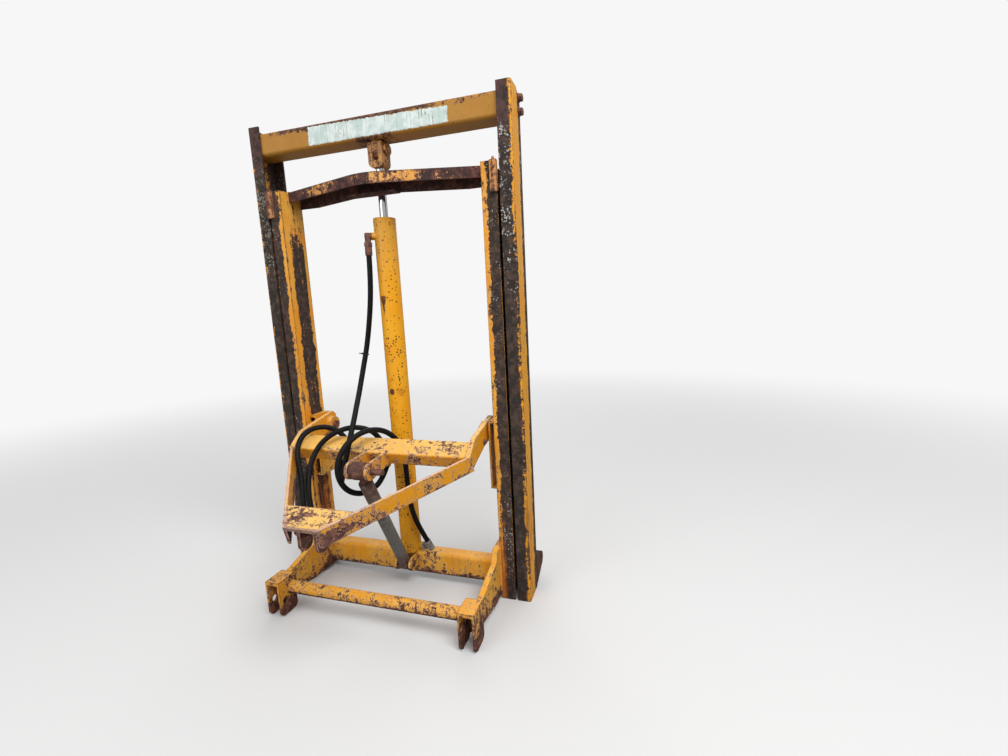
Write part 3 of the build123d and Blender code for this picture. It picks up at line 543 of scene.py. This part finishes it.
shadowed = maths(tree, "MAXIMUM", between(tree, nz, -0.3, -0.7),
                 product(tree, set_back, between(tree, nz, 0.7, 0.3)))
loss = total(tree, (right_patch, -0.26), (left_patch, -0.20), (shadowed, 0.9), base=0.72)
paint = painted(tree, where, 0.010, loss, fade=0.8, streak=0.0, paint=(0.70, 0.32, 0.055),
                faded=(0.76, 0.42, 0.13), primer=(0.46, 0.19, 0.11), deep=(0.045, 0.026, 0.025),
                bright=(0.15, 0.060, 0.046))
finish_paint(tree, paint, 0.0012)
repaint(arch_paint, "arched_crossmember")


def ring_of(made, middle, radius, one, other, count, turn=0.0):
    """A ring of new vertices round a middle, in the plane of two directions."""
    angles = [2 * math.pi * step / count + turn for step in range(count)]
    return [made.verts.new(middle + radius * (math.cos(angle) * one + math.sin(angle) * other))
            for angle in angles]


def weld_bead(name, corners, body, material, thick=0.0042, seed=1):
    """A rippled bead of weld along a line of corners."""
    step_length, count_around = 0.0032, 7
    ripple, pace, uneven = 0.16, 2.1, 0.10
    chance = random.Random(seed)
    made, rings = bmesh.new(), []
    for first, last in zip(corners, corners[1:]):
        way = (last - first).normalized()
        one = way.orthogonal().normalized()
        other = way.cross(one)
        count = max(3, int((last - first).length / step_length))
        for step in range(count + (last is corners[-1])):
            swell = thick * (1 + ripple * math.sin(step * pace) + chance.uniform(-uneven, uneven))
            rings.append(ring_of(made, first.lerp(last, step / count), swell, one, other,
                                 count_around))
    join_rings(made, rings)
    place(name, mesh_of(name, made), body, material)


for side, way in sides.items():
    inner = way * (short_inside - 0.5)
    weld_bead(f"arch_weld_{side}",
              [at(inner, arch_front + 1, mast_head - below) for below in (1, 40)],
              "fixed_mast", arch_paint, seed=3 + way)
    weld_bead(f"arch_top_weld_{side}",
              [at(inner, rearward, mast_head) for rearward in (arch_front, arch_rear)],
              "fixed_mast", arch_paint, seed=5 + way)

# The lift cylinder: a drawn tube in smooth orange-yellow paint that has held well, with small rust
# spots all over it and larger chips, its rod of polished hard chrome, and its two port fittings.
barrel_radius, barrel_axis = 45.0, 64.0
chip_foot, chip_top, chip_across = 1.190, 1.268, -0.011
round_chips = ((-6, 868, 13), (-38, 1004, 6))
weep_middle = (29, 30, 868)


def inverted(tree, mask):
    return maths(tree, "SUBTRACT", 1.0, mask)


def distance(tree, where, place_m):
    return add(tree, "ShaderNodeVectorMath", operation="DISTANCE", in0=where,
               in1=tuple(place_m)).outputs["Value"]


barrel_paint, tree = new_material("barrel_paint")
where, (x, _, z), (ny, _) = zones(tree)
cell = add(tree, "ShaderNodeTexVoronoi", Vector=where, Scale=100.0)
chance = add(tree, "ShaderNodeSeparateColor", Color=cell.outputs["Color"]).outputs[0]
cluster = between(tree, noise(tree, where, 9.0, 2.0), 0.44, 0.60)
chance = maths(tree, "SUBTRACT", chance, product(tree, inverted(tree, cluster), 0.30))
dot_size = product(tree, between(tree, chance, -0.10, 0.95), 0.40)
dots = between(tree, maths(tree, "SUBTRACT", cell.outputs["Distance"], dot_size), 0.03, -0.02)
dots = product(tree, dots, between(tree, chance, 0.22, 0.30))
torn = product(tree, maths(tree, "SUBTRACT", noise(tree, where, 90.0, 4.0, 0.7), 0.5), 0.020)
off_middle = maths(tree, "ABSOLUTE", total(tree, (x, 1.0), (torn, 1.0), base=-chip_across))
half_width = product(tree, between(tree, z, chip_foot + 0.002, chip_top - 0.006), 0.012)
chips = product(
    tree, between(tree, maths(tree, "SUBTRACT", off_middle, half_width), 0.0025, 0.0005),
    between(tree, z, chip_foot, chip_foot + 0.004),
    between(tree, maths(tree, "ADD", z, torn), chip_top, chip_top - 0.003),
    between(tree, ny, 0.1, -0.1),
)
for across, height, size in round_chips:
    rearward = barrel_axis - math.sqrt(barrel_radius ** 2 - across ** 2)
    off_chip = distance(tree, where, at(across, rearward, height))
    ragged = total(tree, (off_chip, 1.0), (noise(tree, where, 150.0, 4.0), 0.012))
    chips = maths(tree, "MAXIMUM", chips,
                  between(tree, ragged, size / 1000 + 0.007, size / 1000 + 0.004))
rusty = add(tree, "ShaderNodeGroup", node_tree=rust_tone, Vector=where,
            Deep=(0.040, 0.022, 0.016, 1), Bright=(0.19, 0.070, 0.030, 1)).outputs
coat = mixed(tree, between(tree, noise(tree, where, 5.0, 5.0), 0.4, 0.7), (0.76, 0.325, 0.009, 1),
             (0.82, 0.40, 0.020, 1))
chalky = product(tree, between(tree, z, 1.28, 1.50), 0.55)
coat = mixed(tree, chalky, coat, (0.56, 0.28, 0.05, 1))
off_weep = distance(tree, where, at(*weep_middle))
weep = between(tree, total(tree, (off_weep, 1.0), (noise(tree, where, 110.0, 5.0), 0.02)),
               0.034, 0.016)
coat = mixed(tree, product(tree, weep, 0.55), coat, (0.42, 0.14, 0.02, 1))
low_dirt = product(tree, between(tree, z, 0.42, 0.12), 0.5)
coat = mixed(tree, low_dirt, coat, (0.50, 0.22, 0.03, 1))
marks = maths(tree, "MAXIMUM", dots, chips)
finish_surface(tree, mixed(tree, product(tree, marks, 0.94), coat, rusty["Colour"]),
               scaled(tree, marks, 0.34, 0.8),
               total(tree, (marks, -0.6), (noise(tree, where, 70.0, 3.0), 0.25)), 0.0008)
repaint(barrel_paint, "lift_barrel")

chrome, tree = new_material("hard_chrome")
where, (_, _, z), _ = zones(tree)
brushed = noise(tree, stretched(tree, where, 0.05), 300.0, 3.0)
tarnish = between(tree, noise(tree, where, 24.0, 6.0, 0.7), 0.55, 0.75)
finish_surface(tree, mixed(tree, tarnish, (0.62, 0.64, 0.66, 1), (0.36, 0.35, 0.34, 1)),
               total(tree, (brushed, 0.10), (tarnish, 0.18), (z, 0.02)), brushed, 0.0001,
               metallic=1.0)
repaint(chrome, "lift_rod")

braid, tree = new_material("steel_braid")
where, (x, y, z), _ = zones(tree)
weave = []
for slope in (1.0, -1.0):
    wound = add(tree, "ShaderNodeCombineXYZ", X=maths(tree, "ADD", x, y), Y=product(tree, z, slope))
    weave.append(add(tree, "ShaderNodeTexWave", Vector=wound.outputs[0], Scale=170.0,
                     bands_direction="DIAGONAL").outputs["Fac"])
strands = maths(tree, "MAXIMUM", *weave)
grime = between(tree, noise(tree, where, 60.0, 6.0, 0.7), 0.46, 0.60)
wires = mixed(tree, strands, (0.08, 0.085, 0.08, 1), (0.34, 0.35, 0.34, 1))
finish_surface(tree, mixed(tree, product(tree, grime, 0.85), wires, (0.10, 0.055, 0.040, 1)),
               total(tree, (grime, 0.3), (strands, 0.4)), strands, 0.0005)
repaint(braid, "base_port_fitting")
repaint(bare_rust, "upper_port_fitting")

# The lower hitch frame: the box-section sill that carries both cylinders, an arm at each end of
# it, the round bar, and the link brackets. Mud and wet grass have rusted it from below. The pivot
# brackets, higher up on the short channels, have the same paint.
hitch_arm_inside = 419.5
sill_front, sill_bottom, sill_top = 42, 36, 136
arm_weld_front, arm_weld_foot, arm_weld_top = -1, 24, 226
arm_bolt_behind, arm_bolt_height = 20, 196
bracket_inside = 385.5
bar_behind, bar_height, bar_radius = -262, 100, 25.5
hitch_paint, tree = new_material("lower_hitch_paint")
where, (_, y, z), (_, nz) = zones(tree)
under = between(tree, nz, -0.15, -0.75)
top = between(tree, nz, 0.4, 0.8)
damp = between(tree, z, 0.085, 0.015)
at_bar = between(tree, y, mast_front - 0.18, mast_front - 0.23)
loss = total(tree, (under, 0.55), (damp, 0.34), (top, -0.04), (at_bar, 0.10), base=0.38)
paint = painted(tree, where, 0.007, loss, fade=0.9, streak=0.25, paint=(0.72, 0.29, 0.012),
                faded=(0.78, 0.42, 0.06), primer=(0.62, 0.36, 0.20), deep=(0.070, 0.030, 0.026),
                bright=(0.22, 0.085, 0.045))
finish_paint(tree, paint, 0.0010)
repaint(hitch_paint, "bottom_crossmember", "lower_crossbar",
        *both("lower_arm", "link_bracket", "pivot_bracket"))
repaint(bare_rust, "tilt_foot_pin", *both("pivot_pin"))


def hex_bolt(name, seat, way, body, material, flats=0.019, tall=0.0085, washer=0.0135):
    """A bolt head with a chamfered top, on its washer."""
    way = Vector(way)
    one = way.orthogonal().normalized()
    other = way.cross(one)
    corner, foot = flats / math.sqrt(3), 0.0024
    made = bmesh.new()
    for count, turn, levels in (
        (24, 0.0, ((-0.001, washer), (0.0020, washer), (0.0026, washer * 0.95))),
        (6, 0.3, ((foot, corner), (foot + tall * 0.8, corner), (foot + tall, corner * 0.84))),
    ):
        join_rings(made, [ring_of(made, seat + way * along, radius, one, other, count, turn)
                          for along, radius in levels])
    place(name, mesh_of(name, made), body, material, smooth=False)


def round_weld(across, rearward, height, radius, count):
    """The corners of a weld round a bar or boss whose axis runs across."""
    angles = [2 * math.pi * step / count for step in range(count + 1)]
    return [at(across, rearward + radius * math.cos(angle), height + radius * math.sin(angle))
            for angle in angles]


for side, way in sides.items():
    face = way * hitch_arm_inside
    weld_bead(f"sill_weld_{side}", (
        at(face, sill_front, sill_bottom + 10), at(face, sill_front, sill_top - 10),
        at(face, sill_front + 12, sill_top), at(face, sill_front + 60, sill_top),
    ), "fixed_mast", hitch_paint, seed=11 + way)
    weld_bead(f"crossbar_weld_{side}",
              round_weld(way * bracket_inside, bar_behind, bar_height, bar_radius, 20),
              "fixed_mast", hitch_paint, thick=0.0035, seed=13 + way)
    face = way * short_inside
    weld_bead(f"arm_weld_{side}",
              [at(face, arm_weld_front, height) for height in (arm_weld_foot, arm_weld_top)],
              "fixed_mast", hitch_paint, seed=17 + way)
    hex_bolt(f"arm_bolt_{side}",
             at(way * (hitch_arm_inside - 0.5), arm_bolt_behind, arm_bolt_height), (-way, 0, 0),
             "fixed_mast", bare_rust)

# The tilting hitch frame: a box-section beam, plate arms back to its pivots, two side plates that
# close to the apex, lugs, and the rail and couplers of the hoses. The up-facing tops are paler,
# partly sun-bleached paint and partly painted light, and the edges are chipped to the steel, with
# pale worn edges that double as a painted highlight.
beam_behind, beam_height = -163, 662
beam_wide, beam_thick = 88, 58
plate_fall, beam_lean = math.radians(13.91), math.radians(26.0)
tilt_arm_inside, tilt_arm_outside = 383.5, 402.5
pivot_behind, pivot_height, boss_radius = 92, 700, 34.5
lug_faces = {"inner": 36.0, "outer": 48.0}
lug_weld_ends = ((-163, 661), (-138, 611))
outer_bolt_behind, outer_bolt_height = -4, 676
plate_splay, plate_start = 0.753, 0.3917
frame_paint, tree = new_material("tilt_frame_paint")
where, (x, y, _), (_, nz) = zones(tree)
sideways = maths(tree, "ABSOLUTE", x)
behind = maths(tree, "SUBTRACT", y, mast_front)
from_beam = add(tree, "ShaderNodeVectorMath", operation="SUBTRACT", in0=where,
                in1=tuple(at(0, beam_behind, beam_height))).outputs[0]
over_plates = add(tree, "ShaderNodeVectorMath", operation="DOT_PRODUCT", in0=from_beam,
                  in1=(0.0, -math.sin(plate_fall), math.cos(plate_fall))).outputs["Value"]
along_plates = add(tree, "ShaderNodeVectorMath", operation="DOT_PRODUCT", in0=from_beam,
                   in1=(0.0, math.cos(plate_fall), math.sin(plate_fall))).outputs["Value"]
plate_middle = maths(tree, "MULTIPLY_ADD", along_plates, plate_splay, plate_start)
# Faces that point up: their paint is paler, partly sun fade and partly painted light.
sun_faded_and_lit_tops = between(tree, nz, 0.45, 0.80)
under = between(tree, nz, -0.60, -0.85)
on_side = between(tree, nz, 0.60, 0.35)
toward_apex = between(tree, behind, -0.30, -0.54)
rim_height = total(tree, (over_plates, 1.0), (toward_apex, -0.034),
                   (ragged_by(tree, where, 0.05), 1.0))
low_rim = product(tree, between(tree, rim_height, -0.046, -0.062),
                  between(tree, behind, -0.150, -0.175), on_side)
patchy = between(tree, noise(tree, where, 9.0, 3.0), 0.42, 0.66)
specked = product(tree, between(tree, behind, -0.185, -0.150), between(tree, behind, -0.06, -0.135),
                  between(tree, x, -0.24, -0.02))
at_lugs = product(tree, between(tree, sideways, 0.075, 0.055), between(tree, behind, -0.175, -0.20),
                  between(tree, behind, -0.34, -0.31))
loss = total(tree, (sun_faded_and_lit_tops, 0.01), (under, 0.45), (low_rim, 0.21), (patchy, 0.07), (specked, 0.13),
             (toward_apex, 0.06), (at_lugs, 0.11), base=0.34)
paint = painted(tree, where, 0.009, loss, fade=maths(tree, "MULTIPLY_ADD", sun_faded_and_lit_tops, 0.75, 0.25),
                streak=0.1, paint=(0.73, 0.30, 0.010), faded=(0.82, 0.45, 0.055),
                primer=(0.70, 0.46, 0.32), deep=(0.085, 0.042, 0.040), bright=(0.24, 0.105, 0.075))
# Up-facing faces are mixed paler where the paint holds: sun-bleached paint, and painted light on the
# tops.
bleached_and_lit_colour = mixed(tree, product(tree, sun_faded_and_lit_tops, inverted(tree, paint["Bare"]), 0.45), paint["Colour"],
                 (0.84, 0.56, 0.20, 1))
off_plate = maths(tree, "ABSOLUTE", maths(tree, "SUBTRACT", sideways, plate_middle))
# The side plates' up-facing top edges get a thin pale pink line: a painted highlight.
plate_top_highlight = product(tree, sun_faded_and_lit_tops, between(tree, along_plates, 0.004, -0.004),
                    between(tree, off_plate, 0.0085, 0.0062))
front_rim = product(tree, between(tree, along_plates, -0.430, -0.437),
                    between(tree, over_plates, -0.016, -0.012))
bleached_and_lit_colour = mixed(tree, product(tree, front_rim, 0.75), bleached_and_lit_colour, (0.19, 0.13, 0.135, 1))
# Edges show a pale pinkish primer: worn paint, and also a painted highlight along them.
worn_and_highlit_edges = product(tree, maths(tree, "MAXIMUM", worn_edges(tree, 0.009), plate_top_highlight),
                 between(tree, noise(tree, where, 70.0, 5.0, 0.7), 0.38, 0.54))
finish_paint(tree, paint, 0.0010,
             mixed(tree, product(tree, worn_and_highlit_edges, 0.80), bleached_and_lit_colour, (0.68, 0.43, 0.31, 1)), gloss=0.16)
repaint(frame_paint, "tilt_beam", "apex_plate", "hose_rail",
        *both("pivot_arm", "side_plate", "top_link_lug", "tilt_lug"))
repaint(bare_rust, "tilt_pin", "hose_couplers")

wide_run = (beam_wide * math.cos(beam_lean), beam_wide * math.sin(beam_lean))
thick_run = (beam_thick * math.sin(beam_lean), -beam_thick * math.cos(beam_lean))
beam_corners = [(beam_behind + wide_run[0] * wide + thick_run[0] * thick,
                 beam_height + wide_run[1] * wide + thick_run[1] * thick)
                for wide, thick in ((0, 0), (1, 0), (1, 1), (0, 1), (0, 0))]
for side, way in sides.items():
    face = way * tilt_arm_inside
    weld_bead(f"beam_weld_{side}", [at(face, *corner) for corner in beam_corners],
              "tilt_frame", frame_paint, seed=21 + way)
    for label, lug_face in lug_faces.items():
        weld_bead(f"lug_weld_{side}_{label}", [at(way * lug_face, *end) for end in lug_weld_ends],
                  "tilt_frame", frame_paint, thick=0.0034, seed=27 + way)
    weld_bead(f"boss_weld_{side}", round_weld(face, pivot_behind, pivot_height, boss_radius, 24),
              "tilt_frame", frame_paint, thick=0.0030, seed=31 + way)
hex_bolt("arm_outer_bolt", at(tilt_arm_outside, outer_bolt_behind, outer_bolt_height), (1, 0, 0),
         "tilt_frame", bare_rust, flats=0.017, tall=0.007, washer=0.012)

ring_middle, ring_radius, ring_wire, ring_steps = at(-55, -261, 634), 0.0125, 0.0014, 24
pin_ring, rings = bmesh.new(), []
for step in range(ring_steps):
    spin = 2 * math.pi * step / ring_steps
    out = Vector((0.25 * math.cos(spin), math.cos(spin), math.sin(spin))).normalized()
    rings.append(ring_of(pin_ring, ring_middle + out * ring_radius, ring_wire, out,
                         Vector((1, 0, 0)), 6))
join_rings(pin_ring, rings, closed=True)
place("pin_ring", mesh_of("pin_ring", pin_ring), "tilt_frame", bare_rust)

# The tilt cylinder: a plain drawn tube gone dull grey, and a rod with a heavy cast eye that is
# rusted purple-brown.
tube_grey, tree = new_material("dull_grey_tube")
where, (_, _, z), _ = zones(tree)
film = between(tree, noise(tree, where, 22.0, 7.0, 0.7), 0.50, 0.68)
grain = noise(tree, where, 260.0, 4.0)
ends = maths(tree, "MAXIMUM", between(tree, z, 0.19, 0.13), between(tree, z, 0.475, 0.505))
rusty = add(tree, "ShaderNodeGroup", node_tree=rust_tone, Vector=where,
            Deep=(0.08, 0.042, 0.034, 1), Bright=(0.22, 0.12, 0.085, 1)).outputs
steel = mixed(tree, film, (0.145, 0.148, 0.145, 1), (0.085, 0.075, 0.068, 1))
finish_surface(tree, mixed(tree, product(tree, ends, 0.8), steel, rusty["Colour"]),
               total(tree, (film, 0.2), (grain, 0.2), (ends, 0.2)), grain, 0.0004)
repaint(tube_grey, "tilt_barrel")
repaint(bare_rust, "tilt_rod")

# The lifting mast's tall channels, with the fork brackets behind their feet. The short channels
# slide in them, so their front flanges are bare, near black, and grown over with pale lichen. The
# sides keep a streaked yellow.
tall_outside = 568.5
tall_paint, tree = new_material("tall_channel_paint")
where, (x, y, z), (ny, _) = zones(tree)
front_face = between(tree, ny, -0.3, -0.7)
torn = ragged_by(tree, where, 0.034)
sideways = maths(tree, "ABSOLUTE", x)
behind = maths(tree, "ADD", maths(tree, "SUBTRACT", y, mast_front), torn)
outside = between(tree, sideways, 0.5665, 0.5680)
near_front = between(tree, behind, 0.016, 0.010)
rear_rim = between(tree, behind, 0.076, 0.094)
inside_web = product(tree, inverted(tree, outside), inverted(tree, front_face))
outer_strip = product(tree, front_face,
                      between(tree, maths(tree, "ADD", sideways, torn), 0.553, 0.559))
loss = total(tree, (front_face, 1.1), (outer_strip, -1.08), (near_front, 0.30), (rear_rim, 0.62),
             (inside_web, 0.30), base=0.22)
paint = painted(tree, where, 0.008, loss, fade=0.75, streak=0.8, paint=(0.72, 0.295, 0.011),
                faded=(0.72, 0.36, 0.028), primer=(0.52, 0.21, 0.07), deep=(0.030, 0.023, 0.020),
                bright=(0.078, 0.050, 0.038))
streaks = noise(tree, stretched(tree, where), 60.0, 5.0, 0.7)
sodden = product(tree, between(tree, z, 0.62, 0.25), between(tree, streaks, 0.50, 0.58),
                 maths(tree, "MAXIMUM", outside, outer_strip))
coat = mixed(tree, product(tree, sodden, 0.75), paint["Colour"], (0.16, 0.055, 0.020, 1))
purple = product(tree, between(tree, z, 1.76, 1.86), paint["Bare"],
                 between(tree, noise(tree, where, 45.0, 6.0, 0.7), 0.40, 0.66))
coat = mixed(tree, purple, coat, (0.105, 0.046, 0.044, 1))
below_head = between(tree, z, 1.90, 1.80)
high = product(tree, between(tree, z, 1.00, 1.55), below_head)
growing = total(tree, (high, 0.85), (below_head, 0.10), (front_face, 0.14))
grown = add(tree, "ShaderNodeGroup", node_tree=lichen, Vector=where,
            Amount=product(tree, paint["Bare"], growing)).outputs[0]
# The lichen on the left channel is painted darker grey-green than on the right: painted shade on the
# side away from the sun lamp.
lichen_painted_shade_left = mixed(tree, between(tree, x, 0.1, -0.1), (0.46, 0.45, 0.42, 1), (0.25, 0.255, 0.215, 1))
finish_paint(tree, paint, 0.0009, mixed(tree, product(tree, grown, 0.85), coat, lichen_painted_shade_left))
repaint(tall_paint, *both("tall_channel", "fork_bracket"))

# The top crossbeam, box section bolted and welded between the tall channels. A wide strip on its
# front has lost its print and is blank, pale and cracked. The rod hangs from it in a clevis.
tall_inside = 559.5
beam_front, beam_top, beam_corner = 8.5, 1955.5, 13.5
beam_weld_foot, beam_weld_rear = 1880, 98
bolt_behind, bolt_heights = 109, {"upper": 1954.0, "lower": 1906.0}
strip_left, strip_right, strip_bottom = -0.281, 0.325, 1.8745
beam_paint, tree = new_material("crossbeam_paint")
where, (x, _, z), (ny, _) = zones(tree)
front_face = between(tree, ny, -0.75, -0.95)
top_edge = between(tree, maths(tree, "ADD", z, ragged_by(tree, where, 0.03)), 1.922, 1.946)
left_part = product(tree, between(tree, x, -0.52, -0.30), between(tree, x, 0.32, 0.10))
over_hanger = product(tree, between(tree, maths(tree, "ABSOLUTE", x), 0.16, 0.05),
                      between(tree, z, 1.905, 1.875))
loss = total(tree, (product(tree, top_edge, left_part), 0.46), (top_edge, 0.26),
             (over_hanger, 0.42), base=0.15)
paint = painted(tree, where, 0.010, loss, fade=0.7, streak=0.15, paint=(0.38, 0.170, 0.020),
                faded=(0.43, 0.21, 0.036), primer=(0.36, 0.17, 0.07), deep=(0.060, 0.032, 0.024),
                bright=(0.20, 0.085, 0.045))
wobble = product(tree, maths(tree, "SUBTRACT", noise(tree, where, 70.0, 5.0, 0.7), 0.5), 0.020)
ragged_x, ragged_z = maths(tree, "ADD", x, wobble), maths(tree, "ADD", z, wobble)
top_line = maths(tree, "MULTIPLY_ADD", x, -0.023, 1.9392)
strip = product(
    tree, between(tree, ragged_x, strip_left - 0.0015, strip_left + 0.0015),
    between(tree, ragged_x, strip_right + 0.0015, strip_right - 0.0015),
    between(tree, ragged_z, strip_bottom, strip_bottom + 0.0015),
    between(tree, maths(tree, "SUBTRACT", top_line, ragged_z), -0.0008, 0.0008), front_face,
)
wave = noise(tree, add(tree, "ShaderNodeCombineXYZ", X=x, Z=product(tree, z, 0.03)).outputs[0],
             42.0, 1.0, 0.4)
crack = product(
    tree, between(tree, maths(tree, "ABSOLUTE", maths(tree, "SUBTRACT", wave, 0.5)), 0.014, 0.005),
    between(tree, noise(tree, where, 40.0, 3.0), 0.42, 0.55),
)
flaked = between(tree, noise(tree, where, 55.0, 7.0, 0.75), 0.64, 0.67)
kept = product(tree, strip, inverted(tree, flaked))
film = mixed(tree, between(tree, noise(tree, where, 26.0, 6.0), 0.40, 0.62),
             (0.50, 0.60, 0.57, 1), (0.68, 0.75, 0.73, 1))
film = mixed(tree, product(tree, crack, 0.8), film, (0.20, 0.14, 0.07, 1))
finish_surface(tree, mixed(tree, kept, paint["Colour"], film),
               total(tree, (kept, 0.15), (paint["Roughness"], 1.0)),
               total(tree, (paint["Height"], 1.0), (kept, 0.25)), 0.0008)
repaint(beam_paint, "top_crossbeam")
for side, way in sides.items():
    face = way * tall_inside
    weld_bead(f"crossbeam_weld_{side}", (
        at(face, beam_front, beam_weld_foot), at(face, beam_front, beam_top - beam_corner),
        at(face, beam_front + beam_corner, beam_top), at(face, beam_weld_rear, beam_top),
    ), "lift_mast", beam_paint, seed=41 + way)
    for label, height in bolt_heights.items():
        hex_bolt(f"crossbeam_bolt_{side}_{label}", at(way * tall_outside, bolt_behind, height),
                 (way, 0, 0), "lift_mast", bare_rust, flats=0.024, tall=0.013, washer=0.016)

hanger_rust, tree = new_material("clevis_rust")
paint = painted(tree, on_object(tree), 0.005, loss=0.46, fade=0.7, streak=0.2,
                paint=(0.46, 0.215, 0.045), faded=(0.52, 0.28, 0.10), primer=(0.40, 0.19, 0.10),
                deep=(0.065, 0.032, 0.028), bright=(0.25, 0.105, 0.060))
finish_paint(tree, paint, 0.0010)
repaint(hanger_rust, "rod_hanger", "rod_clevis", "clevis_pin")

bpy.context.scene.view_settings.view_transform = "Standard"
